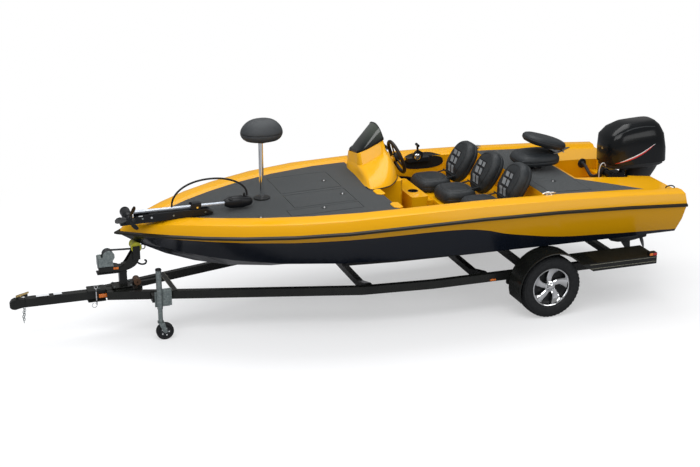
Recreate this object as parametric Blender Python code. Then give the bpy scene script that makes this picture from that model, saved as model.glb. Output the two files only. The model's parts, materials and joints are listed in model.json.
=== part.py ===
"""Bass boat on its single-axle trailer, parked on the tongue jack.

Metres, +X towards the stern, +Y to starboard, +Z up. Every length along X below is measured
from the trailer's axle, and heights from the ground. One empty at the end of the script
carries the model so that its origin is under the middle of the whole length.
"""

import math

import bmesh
import bpy
from mathutils import Vector

SEAT_GAP = 0.0003
RUN_GAP = 0.006
SIDES = {"port": -1, "starboard": 1}

# Trailer wheels and axle
TYRE_RADIUS = 0.305
TYRE_WIDTH = 0.190
RIM_RADIUS = 0.190
RIM_WIDTH = 0.150
WHEEL_Y = 0.939
SPOKES = 5
HUB_RADIUS = 0.052
AXLE_TUBE = 0.060
SPRING_HALF = 0.330
SPRING_WIDTH = 0.045
SPRING_LEAF = 0.024

# Trailer frame
RAIL_TOP = 0.425
RAIL_HEIGHT = 0.078
RAIL_WIDTH = 0.052
RAIL_FRONT_X = -4.030
RAIL_FRONT_Y = 0.072
RAIL_KNEE_X = -1.780
RAIL_KNEE_Y = 0.700
RAIL_STRAIGHT_X = -1.100
RAIL_STRAIGHT_Y = 0.765
RAIL_REAR_X = 1.230
STUB_FRONT_X = -4.130
STUB_REAR_X = -3.700
TONGUE_SIZE = 0.078
TONGUE_FRONT_X = -4.760
HINGE_X = -4.150
HINGE_PLATE = 0.010
HINGE_PLATE_LENGTH = 0.110
HINGE_PIN_RADIUS = 0.012
COUPLER_TIP_X = -4.897
COUPLER_WIDTH = 0.092
CROSS_TUBE = 0.060
CROSS_FRONT_X = -1.700
CROSS_MID_X = -0.560
CROSS_REAR_X = 0.960
BUNK_FRONT_X = -1.900
BUNK_REAR_X = 1.080
BUNK_Y = 0.520
BUNK_WIDTH = 0.110
BUNK_HEIGHT = 0.046

# Fenders and steps
FENDER_WIDTH = 0.238
FENDER_INNER_Y = 0.818
FENDER_RADIUS = 0.352
FENDER_SHEET = 0.006
STEP_REAR_X = 1.044
STEP_TOP = 0.545
STEP_DEPTH = 0.078
FENDER_START = 196.0
FENDER_STEPS = 14

# Winch stand
POST_X = -3.870
POST_SIZE = 0.070
POST_UNDER_ROLLER = 0.171
WINCH_X = -4.010
WINCH_UP = 0.050
DRUM_X = -3.985
DRUM_UP = 0.105
DRUM_RADIUS = 0.062
ROLLER_CONTACT_X = -3.720
ROLLER_RADIUS = 0.050
ROLLER_WAIST = 0.040
ROLLER_WIDTH = 0.120

# Tongue jack
JACK_X = -3.600
JACK_Y = -0.345
JACK_TUBE_RADIUS = 0.026
JACK_TUBE_TOP = 0.677
JACK_TUBE_BOTTOM = 0.300
JACK_LEG_RADIUS = 0.0215
JACK_PIVOT_Z = 0.386
JACK_WHEEL_RADIUS = 0.081
JACK_WHEEL_WIDTH = 0.050
JACK_TRAIL = 0.034

# Hull and deck
HULL_LENGTH = 5.291
BOW_X = -3.898
HALF_BEAM = 1.056
BOW_SHARE = 0.471
BOW_POWER = 2.361
STERN_NARROWING = 0.021
SHEER_BOW = 0.954
SHEER_MID = 1.074
SHEER_STERN = 0.985
KEEL_Z = 0.470
BOW_RISE_LENGTH = 2.000
KEEL_RISE_POWER = 2.7
CHINE_Z = 0.668
CHINE_RISE_POWER = 3.0
CHINE_SHARE = 0.830
CHINE_BOW_LOSS = 0.500
CHINE_BOW_POWER = 2.6
CHINE_FLAT = 0.060
PAD_HALF = 0.060
STATIONS = (0.006, 0.020, 0.045, 0.080, 0.130, 0.190, 0.270, 0.360, 0.471, 0.600, 0.740, 0.880, 1.000)
RUB_HALF = 0.018
RUB_DEPTH = 0.020
GUNWALE_CREST_IN = 0.115
GUNWALE_CREST_UP = 0.125
DECK_EDGE_IN = 0.226
DECK_UP = 0.093
CARPET = 0.006
BOW_FLAT_LENGTH = 0.800
BOW_FLATTENING = 0.400
TIP_SHIFT = 1.35

# Cockpit, splash well and transom notch
COCKPIT_FRONT_X = -1.450
COCKPIT_REAR_X = 0.000
COCKPIT_HALF = 0.780
FLOOR_Z = 0.740
NOTCH_FRONT_X = 1.150
NOTCH_HALF = 0.300
WELL_FRONT_X = 0.580
WELL_HALF = 0.350
WELL_FLOOR_Z = 0.870
TRANSOM_THICKNESS = 0.060
TRANSOM_TOP = 0.985

# Hatch lids: name, x from, x to, y hinge side, y free side
LID_THICKNESS = 0.022
LID_GAP = 0.006
LEDGE = 0.018
LOCKER_DEPTH = 0.240
LIDS = {
    "front_starboard": (-2.330, -1.740, 0.560, 0.050),
    "front_port": (-2.330, -1.740, -0.400, -0.020),
    "rod_port": (-2.420, -1.740, -0.620, -0.450),
    "rear_port": (0.090, 0.520, -0.720, -0.290),
}

# Console and helm
CONSOLE_X = (-1.440, -1.140)
CONSOLE_WALL = 0.040
CONSOLE_Y = (0.020, COCKPIT_HALF - CONSOLE_WALL)
CONSOLE_FRONT_Z = 1.330
CONSOLE_REAR_Z = 1.440
SCREEN_TOP_X = -0.950
SCREEN_TOP_Z = 1.645
HELM = (-1.025, 0.450, 1.285)
HELM_RADIUS = 0.180
HELM_RIM = 0.014
HELM_TILT = 21.0

# Cockpit seats: name, x of the back's foot, y
SEAT_BOX_X = (-0.780, -0.004)
SEAT_BOX_TOP = 0.930
HELM_STEP_X = (-1.020, -0.846)
HELM_STEP_Y = (0.020, COCKPIT_HALF - 0.120)
HELM_STEP_TOP = 0.985
CUP_HOLE = (-0.930, 0.230)
CUP_RADIUS = 0.046
CUP_DEPTH = 0.085
SEATS = {
    "starboard": (-0.470, COCKPIT_HALF * 0.577),
    "middle": (-0.385, COCKPIT_HALF * 0.026),
    "port": (-0.300, -COCKPIT_HALF * 0.551),
}
SEAT_WIDTH = COCKPIT_HALF * 0.513
SEAT_DEPTH = 0.370
SEAT_THICKNESS = 0.120
BACK_HEIGHT = 0.440
BACK_THICKNESS = 0.120
BACK_TILT = 30.0
BACK_DROP = 0.058
HINGE_ROD = 0.008

# Throttle lever on the cockpit's starboard side
CONTROL_X = (-0.800, -0.560)
CONTROL_DEPTH = 0.065

# Casting seats
POLE_X = -2.535
POLE_RADIUS = 0.022
BUTT_SEAT_Z = 1.700
BUTT_SEAT_HEIGHT = 0.205
BUTT_SEAT_RADIUS = 0.195
REAR_SEAT_X = 0.322
REAR_SEAT_Y = 0.100
REAR_POST_HEIGHT = 0.057
REAR_SEAT_HALF = 0.230
REAR_SEAT_WIDTH = 0.420
REAR_BACK_HEIGHT = 0.450
REAR_SEAT_THICKNESS = 0.110
REAR_BACK_TILT = -74.0

# Outboard motor
STEER_X = 1.270
TILT_X = 1.130
TILT_Z = 1.022
COWL_X = 1.365
COWL_HALF = 0.345
COWL_HALF_WIDTH = 0.205
TAB_X = 1.745
PAN_BOTTOM = 1.112
COWL_BOTTOM = 1.165
COWL_HEIGHT = 0.418

# Rows of the cowl: share of the height, half length, half breadth, shift aft, rise towards the rear
COWL_ROWS = (
    (0.000, 0.990, 0.935, 0.000, 0.000),
    (0.330, 0.968, 1.000, -0.006, 0.000),
    (0.665, 0.910, 0.980, -0.018, 0.035),
    (0.850, 0.745, 0.860, -0.010, 0.075),
    (0.965, 0.540, 0.560, 0.018, 0.055),
    (0.985, 0.420, 0.400, 0.024, 0.040),
)
# Rows of the leg: height, half length, half breadth, distance aft of the steering tube
LEG_ROWS = (
    (0.360, 0.062, 0.016, 0.115),
    (0.470, 0.078, 0.024, 0.115),
    (0.640, 0.095, 0.050, 0.130),
    (0.800, 0.110, 0.080, 0.160),
    (0.950, 0.128, 0.095, 0.180),
    (1.060, 0.165, 0.130, 0.210),
    (1.122, 0.185, 0.150, 0.220),
)
PROP_Z = 0.330
PROP_LENGTH = 0.110
GEARCASE_REAR_X = 1.490
STEER_TUBE = 0.030
PROP_RADIUS = 0.165
GEARCASE_RADIUS = 0.055

# Propeller blades: share of the reach, breadth, pitch angle, sweep
BLADE_SHAPE = ((0.0, 0.55, 60.0, 0.0), (0.30, 0.85, 50.0, 0.02), (0.60, 1.00, 42.0, 0.06),
               (0.84, 0.84, 36.0, 0.12), (1.0, 0.40, 32.0, 0.20))

# Trolling motor
TROLL_Y = -0.200
TROLL_DECK_X = -3.450
TROLL_RISE = 0.053
TROLL_BASE_X = (-3.900, -3.060)
TROLL_BASE_UP = (0.027, 0.035, 0.057)
TROLL_BASE_WIDTH = 0.120
TROLL_BASE_HEIGHT = 0.020
TROLL_FEET_X = (-3.205, -3.105)
TROLL_FOOT = 0.040
TROLL_PIVOT_UP = 0.067
TROLL_ARM_UP = 0.085
TROLL_SHAFT_UP = 0.114
TROLL_COLLAR_HALF = 0.029
TROLL_COLLAR_GAP = 0.007
TROLL_POD_LENGTH = 0.250
TROLL_HEAD = ((-0.240, 0.030), (-0.190, 0.052), (-0.080, 0.056), (0.000, 0.040), (0.020, 0.022))
TROLL_HEAD_LIFT = 0.003
TROLL_PIVOT_X = -3.620
TROLL_COLLAR_X = -3.200
TROLL_POD_X = -3.830
TROLL_HEAD_X = -2.700
TROLL_SHAFT_RADIUS = 0.014
TROLL_POD_RADIUS = 0.045
TROLL_PROP_RADIUS = 0.125


def material(name, colour, roughness=0.5, metallic=0.0):
    made = bpy.data.materials.new(name)
    made.use_nodes = True
    shader = made.node_tree.nodes["Principled BSDF"]
    shader.inputs["Base Color"].default_value = (*colour, 1.0)
    shader.inputs["Roughness"].default_value = roughness
    shader.inputs["Metallic"].default_value = metallic
    return made


def clear_scene():
    for item in list(bpy.data.objects):
        bpy.data.objects.remove(item, do_unlink=True)


def empty(name, location, parent=None):
    made = bpy.data.objects.new(name, None)
    bpy.context.scene.collection.objects.link(made)
    place(made, location, parent)
    return made


def world_origin(item):
    """Where an object stands, found through its parents, none of which is turned."""
    origin = Vector(item.location)
    return origin + world_origin(item.parent) if item.parent else origin


def place(item, location, parent=None):
    offset = world_origin(parent) if parent else Vector((0.0, 0.0, 0.0))
    item.parent = parent
    item.location = Vector(location) - offset


def finish(name, mesh_data, finish_material, parent, smooth=35.0):
    """Turns a bmesh that is written in axle coordinates into a named object with its
    origin on its parent's origin."""
    bmesh.ops.recalc_face_normals(mesh_data, faces=mesh_data.faces)
    origin = world_origin(parent)
    bmesh.ops.translate(mesh_data, verts=mesh_data.verts, vec=-origin)
    mesh = bpy.data.meshes.new(name)
    mesh_data.to_mesh(mesh)
    mesh_data.free()
    mesh.shade_smooth()
    mesh.set_sharp_from_angle(angle=math.radians(smooth))
    mesh.materials.append(finish_material)
    made = bpy.data.objects.new(name, mesh)
    bpy.context.scene.collection.objects.link(made)
    place(made, origin, parent)
    return made


def helper(item):
    item.hide_render = True
    item.display_type = "WIRE"
    return item


def combine(item, other, operation):
    modifier = item.modifiers.new(operation.title(), "BOOLEAN")
    modifier.operation = operation
    modifier.solver = "EXACT"
    modifier.object = helper(other)


def solid(name, shapes, finish_material, parent, cuts=(), smooth=35.0):
    """One object from several shapes: the first, joined with the others, less the cuts."""
    made = finish(name, shapes[0], finish_material, parent, smooth)
    for number, shape in enumerate(shapes[1:]):
        other = finish(f"{name}_join_{number}", shape, finish_material, parent, smooth)
        combine(made, other, "UNION")
    for number, shape in enumerate(cuts):
        other = finish(f"{name}_cut_{number}", shape, finish_material, parent, smooth)
        combine(made, other, "DIFFERENCE")
    return made


def loft(loops, closed=True):
    """A closed solid through loops with the same number of points each."""
    mesh_data = bmesh.new()
    rings = [[mesh_data.verts.new(point) for point in loop] for loop in loops]
    count = len(rings[0])
    for first, second in zip(rings, rings[1:]):
        for step in range(count):
            after = (step + 1) % count
            mesh_data.faces.new((first[step], first[after], second[after], second[step]))
    if closed:
        mesh_data.faces.new(rings[0][::-1])
        mesh_data.faces.new(rings[-1])
    else:
        first, second = rings[-1], rings[0]
        for step in range(count):
            after = (step + 1) % count
            mesh_data.faces.new((first[step], first[after], second[after], second[step]))
    return mesh_data


def box(x_range, y_range, z_range):
    (x0, x1), (y0, y1), (z0, z1) = x_range, y_range, z_range
    loops = [[(x, y0, z0), (x, y1, z0), (x, y1, z1), (x, y0, z1)] for x in (x0, x1)]
    return loft(loops)


def plate(outline, y_range):
    """An outline of (x, z) points, extruded along Y."""
    return loft([[(x, y, z) for x, z in outline] for y in y_range])


def slab(outline, z_range):
    """An outline of (x, y) points, extruded along Z."""
    return loft([[(x, y, z) for x, y in outline] for z in z_range])


def lathe(profile, centre, axis, segments):
    """Turns a closed profile of (along, radius) points round an axis through centre."""
    centre, axis = Vector(centre), Vector(axis).normalized()
    side = axis.orthogonal().normalized()
    other = axis.cross(side)
    loops = []
    for step in range(segments):
        angle = 2 * math.pi * step / segments
        out = side * math.cos(angle) + other * math.sin(angle)
        loops.append([centre + axis * along + out * radius for along, radius in profile])
    return loft(loops, closed=False)


def bore(radius, segments):
    """The radius of a many-sided hole in which a many-sided shaft of that radius can turn."""
    return (radius + SEAT_GAP) / math.cos(math.pi / segments)


def rod(start, end, radius, segments=12, end_radius=None):
    """A round bar from start to end, tapered when an end radius is given."""
    start, end = Vector(start), Vector(end)
    axis = (end - start).normalized()
    side = axis.orthogonal().normalized()
    other = axis.cross(side)
    loops = []
    for point, size in ((start, radius), (end, end_radius or radius)):
        loops.append(
            [
                point + (side * math.cos(angle) + other * math.sin(angle)) * size
                for angle in (2 * math.pi * step / segments for step in range(segments))
            ]
        )
    return loft(loops)


def bar(path, width, height, up=(0.0, 0.0, 1.0)):
    """A rectangular bar swept along a path of points, mitred at its corners."""
    path = [Vector(point) for point in path]
    up = Vector(up)
    loops = []
    for index, point in enumerate(path):
        before = (point - path[index - 1]).normalized() if index else None
        after = (path[index + 1] - point).normalized() if index < len(path) - 1 else None
        along = ((before or after) + (after or before)).normalized()
        side = along.cross(up).normalized()
        mitre = 1.0 / max(0.3, along.dot(before or after))
        across = side * width * 0.5 * mitre
        rise = side.cross(along).normalized() * height * 0.5
        loops.append([point - across - rise, point + across - rise,
                      point + across + rise, point - across + rise])
    return loft(loops)


def arc(centre, radius, start, end, steps):
    """Points (x, z) along an arc, angles in degrees from +X towards +Z."""
    points = []
    for step in range(steps + 1):
        angle = math.radians(start + (end - start) * step / steps)
        points.append((centre[0] + radius * math.cos(angle), centre[1] + radius * math.sin(angle)))
    return points


def rounded(x_range, y_range, corner, steps=3):
    """A rectangle of (x, y) points with round corners."""
    (x0, x1), (y0, y1) = x_range, y_range
    points = []
    for x, y, start in ((x1 - corner, y1 - corner, 0.0), (x0 + corner, y1 - corner, 90.0),
                        (x0 + corner, y0 + corner, 180.0), (x1 - corner, y0 + corner, 270.0)):
        points += arc((x, y), corner, start, start + 90.0, steps)
    return points


def mirror_y(point):
    return (point[0], -point[1], point[2])


def frame_rail(side):
    """One side rail: angled from the tongue, then straight past the wheels."""
    mid = RAIL_TOP - RAIL_HEIGHT / 2
    path = [(RAIL_FRONT_X, side * RAIL_FRONT_Y, mid), (RAIL_KNEE_X, side * RAIL_KNEE_Y, mid),
            (RAIL_STRAIGHT_X, side * RAIL_STRAIGHT_Y, mid), (RAIL_REAR_X, side * RAIL_STRAIGHT_Y, mid)]
    return bar(path, RAIL_WIDTH, RAIL_HEIGHT)


def rail_y(x):
    """Half the distance between the rails' centre lines at x."""
    if x > RAIL_STRAIGHT_X:
        return RAIL_STRAIGHT_Y
    if x > RAIL_KNEE_X:
        share = (x - RAIL_KNEE_X) / (RAIL_STRAIGHT_X - RAIL_KNEE_X)
        return RAIL_KNEE_Y + share * (RAIL_STRAIGHT_Y - RAIL_KNEE_Y)
    share = (x - RAIL_FRONT_X) / (RAIL_KNEE_X - RAIL_FRONT_X)
    return RAIL_FRONT_Y + share * (RAIL_KNEE_Y - RAIL_FRONT_Y)


def cross_member(x, drop, name, root, paint):
    """A square tube bent down under the keel, between the insides of the rails."""
    reach = rail_y(x - CROSS_TUBE / 2) - RAIL_WIDTH * 0.503 - SEAT_GAP
    mid = RAIL_TOP - RAIL_HEIGHT / 2
    level, bend = reach - 0.060, reach * 0.60
    path = [(x, -reach, mid), (x, -level, mid), (x, -bend, mid - drop), (x, bend, mid - drop),
            (x, level, mid), (x, reach, mid)]
    solid(name, [bar(path, CROSS_TUBE, CROSS_TUBE, up=(1.0, 0.0, 0.0))], paint, root)


def jack_mount():
    """The block on the port rail that carries the jack's swivel flange."""
    return box((JACK_X - 0.060, JACK_X + 0.060), (JACK_Y + JACK_TUBE_RADIUS + 0.0085, -rail_y(JACK_X)),
               (RAIL_TOP - RAIL_HEIGHT + 0.006, RAIL_TOP - 0.006))


def trailer_frame(root, paint):
    for label, side in SIDES.items():
        shapes = [frame_rail(side)] + ([jack_mount()] if side < 0 else [])
        solid(f"rail_{label}", shapes, paint, root)
    half = TONGUE_SIZE / 2
    stub = box((STUB_FRONT_X, STUB_REAR_X), (-half, half), (RAIL_TOP - TONGUE_SIZE, RAIL_TOP))
    plates = [hinge_plate(RAIL_TOP + HINGE_PLATE / 2 + RUN_GAP),
              hinge_plate(RAIL_TOP - TONGUE_SIZE - HINGE_PLATE / 2 - RUN_GAP)]
    solid("tongue_stub", [stub, *plates, *plate_feet()], paint, root)
    for number, (x, drop) in enumerate(((CROSS_FRONT_X, 0.055), (CROSS_MID_X, 0.060), (CROSS_REAR_X, 0.060))):
        cross_member(x, drop, f"cross_member_{number + 1}", root, paint)


def hinge_plate(z):
    """One of the two plates that hold the folding tongue, each side of its pins."""
    reach = TONGUE_SIZE / 2 + HINGE_PIN_RADIUS * 2.4
    outline = rounded((HINGE_X - HINGE_PLATE_LENGTH / 2, HINGE_X + HINGE_PLATE_LENGTH), (-reach, reach),
                      0.012)
    return slab(outline, (z - HINGE_PLATE / 2, z + HINGE_PLATE / 2))


def plate_feet():
    """Blocks that join the hinge plates to the stub."""
    half = TONGUE_SIZE / 2
    x_range = (STUB_FRONT_X + 0.010, HINGE_X + HINGE_PLATE_LENGTH - 0.010)
    return [box(x_range, (-half * 0.8, half * 0.8), (z0, z1)) for z0, z1 in
            ((RAIL_TOP - 0.010, RAIL_TOP + HINGE_PLATE),
             (RAIL_TOP - TONGUE_SIZE - HINGE_PLATE, RAIL_TOP - TONGUE_SIZE + 0.010))]


def folding_tongue(root, paint, plating):
    half = TONGUE_SIZE / 2
    hinge_y = half + HINGE_PIN_RADIUS
    turn = empty("tongue_hinge", (HINGE_X, hinge_y, RAIL_TOP - half), root)
    tube = box((TONGUE_FRONT_X, STUB_FRONT_X - RUN_GAP), (-half, half), (RAIL_TOP - TONGUE_SIZE, RAIL_TOP))
    reach = RUN_GAP - SEAT_GAP
    knuckle = rod((HINGE_X, hinge_y, RAIL_TOP - TONGUE_SIZE - reach), (HINGE_X, hinge_y, RAIL_TOP + reach),
                  HINGE_PIN_RADIUS * 1.7)
    solid("tongue", [tube, knuckle], paint, turn)
    top = RAIL_TOP - TONGUE_SIZE * 0.16
    width = COUPLER_WIDTH / 2
    head_x = COUPLER_TIP_X + 0.045
    housing = loft([
        [(x, -y, low), (x, y, low), (x, y * 0.75, high), (x, -y * 0.75, high)]
        for x, y, low, high in (
            (COUPLER_TIP_X, width * 0.45, top - 0.062, top - 0.020),
            (COUPLER_TIP_X + 0.018, width * 0.85, top - 0.072, top + 0.002),
            (head_x, width, top - 0.076, top + 0.014),
            (head_x + 0.050, width * 0.86, top - 0.068, top + 0.014),
            (TONGUE_FRONT_X - SEAT_GAP, width * 0.80, top - 0.064, top + 0.006),
        )
    ])
    socket = rod((head_x, 0.0, top - 0.080), (head_x, 0.0, top - 0.030), 0.026, 16)
    latch = bar([(head_x + 0.010, 0.0, top + 0.010), (head_x + 0.045, 0.0, top + 0.034),
                 (head_x + 0.120, 0.0, top + 0.040)], 0.026, 0.012)
    solid("coupler", [housing, latch], plating, turn, cuts=[socket])


def bunk_stations():
    """The hull's own stations between the bunk's ends, so that both bend at the same places."""
    inside = [BOW_X + share * HULL_LENGTH for share in STATIONS
              if BUNK_FRONT_X < BOW_X + share * HULL_LENGTH < BUNK_REAR_X]
    return [BUNK_FRONT_X, *inside, BUNK_REAR_X]


def hull_rest(x, y):
    """Height just under the hull's bottom, which runs straight between its stations."""
    return on_stations(x, lambda station: hull_z(station, y)) - 3 * SEAT_GAP


def bunks(root, wood):
    for label, side in SIDES.items():
        loops = []
        for x in bunk_stations():
            inner, outer = BUNK_Y - BUNK_WIDTH / 2, BUNK_Y + BUNK_WIDTH / 2
            low, high = hull_rest(x, inner), hull_rest(x, outer)
            loops.append([(x, side * inner, low), (x, side * outer, high),
                          (x, side * outer, high - BUNK_HEIGHT),
                          (x, side * inner, low - BUNK_HEIGHT)])
        solid(f"bunk_{label}", [loft(loops)], wood, root)


def axle_and_springs(root, paint):
    """The axle tube with its two leaf springs, which hang from the rails."""
    reach = WHEEL_Y - TYRE_WIDTH / 2 - 0.012
    mid = TYRE_RADIUS
    shapes = [bar([(0.0, -reach, mid), (0.0, reach, mid)], AXLE_TUBE, AXLE_TUBE)]
    for side in SIDES.values():
        hub_face = WHEEL_Y + RIM_WIDTH / 2 * 0.30 - 0.012 - SEAT_GAP
        shapes.append(rod((0.0, side * (reach - 0.030), mid), (0.0, side * hub_face, mid), 0.034, 16, 0.030))
        shapes.append(rod((0.0, side * (hub_face - 0.070), mid), (0.0, side * (hub_face - 0.010), mid), 0.060,
                          20))
        y = side * RAIL_STRAIGHT_Y
        arch = [(x, y, mid - AXLE_TUBE / 2 - SPRING_LEAF / 2 + 0.004 + rise) for x, rise in
                ((-SPRING_HALF, 0.040), (-SPRING_HALF / 2, 0.011), (0.0, 0.0), (SPRING_HALF / 2, 0.011),
                 (SPRING_HALF, 0.040))]
        shapes.append(bar(arch, SPRING_WIDTH, SPRING_LEAF))
        for end in (-1, 1):
            shapes.append(box((end * SPRING_HALF - 0.016, end * SPRING_HALF + 0.016), (y - 0.020, y + 0.020),
                              (mid - 0.010, RAIL_TOP - RAIL_HEIGHT - SEAT_GAP)))
    solid("axle", shapes, paint, root)


def tyre_profile():
    """(along, radius) points of a trailer tyre, hollow inside where the rim holds it."""
    half = TYRE_WIDTH / 2
    bead = RIM_RADIUS + SEAT_GAP
    return [(-half * 0.72, bead), (-half * 0.98, bead + 0.030), (-half, bead + 0.062),
            (-half * 0.90, TYRE_RADIUS - 0.020),
            (-half * 0.72, TYRE_RADIUS - 0.004), (-half * 0.30, TYRE_RADIUS), (half * 0.30, TYRE_RADIUS),
            (half * 0.72, TYRE_RADIUS - 0.004), (half * 0.90, TYRE_RADIUS - 0.020), (half, bead + 0.062),
            (half * 0.98, bead + 0.030), (half * 0.72, bead)]


def wheel_disc(side, centre):
    """The dish of the wheel with its rim, turned round the axle; side says where the face is."""
    half = RIM_WIDTH / 2
    face = side * half * 0.30
    back = face - side * 0.012
    lip = RIM_RADIUS - 0.018
    return lathe([(-half, RIM_RADIUS), (half, RIM_RADIUS), (half, lip), (face + side * 0.010, lip - 0.010),
                  (face, HUB_RADIUS), (face + side * 0.010, 0.001), (back, 0.001), (back, HUB_RADIUS),
                  (back, lip - 0.010), (-half, lip)] if side > 0 else
                 [(half, RIM_RADIUS), (-half, RIM_RADIUS), (-half, lip), (face - 0.010, lip - 0.010),
                  (face, HUB_RADIUS), (face - 0.010, 0.001), (back, 0.001), (back, HUB_RADIUS),
                  (back, lip - 0.010), (half, lip)], centre, (0.0, 1.0, 0.0), 40)


def wheel_window(side, centre, turn):
    """A slanted opening between two spokes."""
    points = []
    for radius, angle in ((0.078, -13.0), (0.150, -20.0), (0.160, 0.0), (0.150, 22.0), (0.092, 12.0)):
        bearing = math.radians(turn + angle * side)
        points.append((centre[0] + radius * math.cos(bearing), centre[2] + radius * math.sin(bearing)))
    return plate(points, (centre[1] - RIM_WIDTH * 0.35, centre[1] + RIM_WIDTH * 0.35))


def wheels(root, rubber, chrome):
    for label, side in SIDES.items():
        centre = (0.0, side * WHEEL_Y, TYRE_RADIUS)
        spin = empty(f"wheel_{label}_axis", centre, root)
        solid(f"tyre_{label}", [lathe(tyre_profile(), centre, (0.0, 1.0, 0.0), 40)], rubber, spin)
        windows = [wheel_window(side, centre, 360.0 * step / SPOKES + 90.0) for step in range(SPOKES)]
        face_y = centre[1] + side * RIM_WIDTH * 0.15
        cap = rod((0.0, face_y - side * 0.010, TYRE_RADIUS), (0.0, face_y + side * 0.030, TYRE_RADIUS),
                  HUB_RADIUS * 0.8,
                  20, HUB_RADIUS * 0.6)
        solid(f"wheel_{label}", [wheel_disc(side, centre), cap], chrome, spin, cuts=windows)


def fenders(root, paint):
    for label, side in SIDES.items():
        centre = (0.0, TYRE_RADIUS)
        foot = math.degrees(math.asin((STEP_TOP - TYRE_RADIUS) / FENDER_RADIUS))
        outer = arc(centre, FENDER_RADIUS, FENDER_START, foot, FENDER_STEPS)
        inner = arc(centre, FENDER_RADIUS - FENDER_SHEET, foot, FENDER_START, FENDER_STEPS)
        arch = plate(outer + inner, (side * FENDER_INNER_Y, side * (WHEEL_Y + TYRE_WIDTH / 2 + 0.030)))
        meet = math.sqrt(FENDER_RADIUS ** 2 - (STEP_TOP - TYRE_RADIUS) ** 2)
        step = plate([(meet - 0.005, STEP_TOP), (STEP_REAR_X, STEP_TOP), (STEP_REAR_X, STEP_TOP - STEP_DEPTH),
                      (meet + 0.110, STEP_TOP - STEP_DEPTH), (meet + 0.012, STEP_TOP - 0.016)],
                     (side * (FENDER_INNER_Y + 0.002), side * 1.134))
        arms = [box((x - 0.025, x + 0.025),
                    sorted((side * (RAIL_STRAIGHT_Y + RAIL_WIDTH / 2 + SEAT_GAP),
                            side * (FENDER_INNER_Y + 0.040))),
                    (STEP_TOP - STEP_DEPTH - 0.060, STEP_TOP - STEP_DEPTH + 0.010)) for x in (0.55, 0.92)]
        solid(f"fender_{label}", [arch, step, *arms], paint, root)


def roller_centre():
    """(x, z) of the bow roller, whose waist touches the stem at its contact point."""
    step = 0.010
    slope = (keel_z(ROLLER_CONTACT_X + step) - keel_z(ROLLER_CONTACT_X - step)) / (2 * step)
    length = math.hypot(1.0, slope)
    reach = ROLLER_WAIST + SEAT_GAP
    return ROLLER_CONTACT_X + reach * slope / length, keel_z(ROLLER_CONTACT_X) - reach / length


def winch_stand(root, paint, zinc, urethane):
    half = POST_SIZE / 2
    roller_x, roller_z = roller_centre()
    post_top = roller_z - POST_UNDER_ROLLER
    drum_z = post_top + DRUM_UP
    base = box((POST_X - 0.085, POST_X + 0.120), (-0.110, 0.110), (RAIL_TOP + SEAT_GAP, RAIL_TOP + 0.009))
    post = box((POST_X - half, POST_X + half), (-half, half), (RAIL_TOP + 0.004, post_top))
    tray = box((WINCH_X - 0.095, POST_X + half), (-0.050, 0.050), (post_top - 0.060, post_top - 0.050))
    foot, knee = Vector((POST_X, 0.0, post_top - 0.020)), Vector((roller_x + 0.010, 0.0, post_top + 0.010))
    end = Vector((roller_x - 0.002, 0.0, roller_z - 0.085))
    sweep = [foot * (1 - t) ** 2 + knee * 2 * t * (1 - t) + end * t ** 2
             for t in (step / 6 for step in range(7))]
    arm = bar(sweep, 0.062, 0.060, up=(0.0, 1.0, 0.0))
    fork = [box((roller_x - 0.035, roller_x + 0.030), (side * 0.067 - 0.005, side * 0.067 + 0.005),
                (roller_z - 0.080, roller_z + 0.014))
            for side in (-1, 1)]
    yoke = box((roller_x - 0.035, roller_x + 0.030), (-0.070, 0.070), (roller_z - 0.115, roller_z - 0.062))
    pin = rod((roller_x, -0.072, roller_z), (roller_x, 0.072, roller_z), 0.0096)
    solid("winch_stand", [post, base, tray, arm, yoke, *fork, pin], paint, root)
    solid("bow_roller", [lathe([(-ROLLER_WIDTH / 2, 0.010), (-ROLLER_WIDTH / 2, ROLLER_RADIUS),
                                (-0.020, ROLLER_WAIST),
                                (0.020, ROLLER_WAIST), (ROLLER_WIDTH / 2, ROLLER_RADIUS),
                                (ROLLER_WIDTH / 2, 0.010)],
                               (roller_x, 0.0, roller_z), (0.0, 1.0, 0.0), 20)], urethane, root)
    cheeks = [plate([(WINCH_X - 0.085, post_top - 0.0495), (POST_X - half - 0.004, post_top - 0.0495),
                     (DRUM_X + 0.055, drum_z + 0.020), (DRUM_X, drum_z + 0.045),
                     (WINCH_X - 0.085, post_top + WINCH_UP + 0.030)],
                    (side * 0.052 - 0.004, side * 0.052 + 0.004)) for side in (-1, 1)]
    drum = rod((DRUM_X, -0.050, drum_z), (DRUM_X, 0.050, drum_z), 0.032, 16)
    gear = rod((DRUM_X, -0.066, drum_z), (DRUM_X, -0.054, drum_z), DRUM_RADIUS, 24)
    floor = box((WINCH_X - 0.085, POST_X - half - 0.004), (-0.050, 0.050),
                (post_top - 0.0495, post_top - 0.043))
    solid("winch", [drum, *cheeks, gear, floor], zinc, root)


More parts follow.
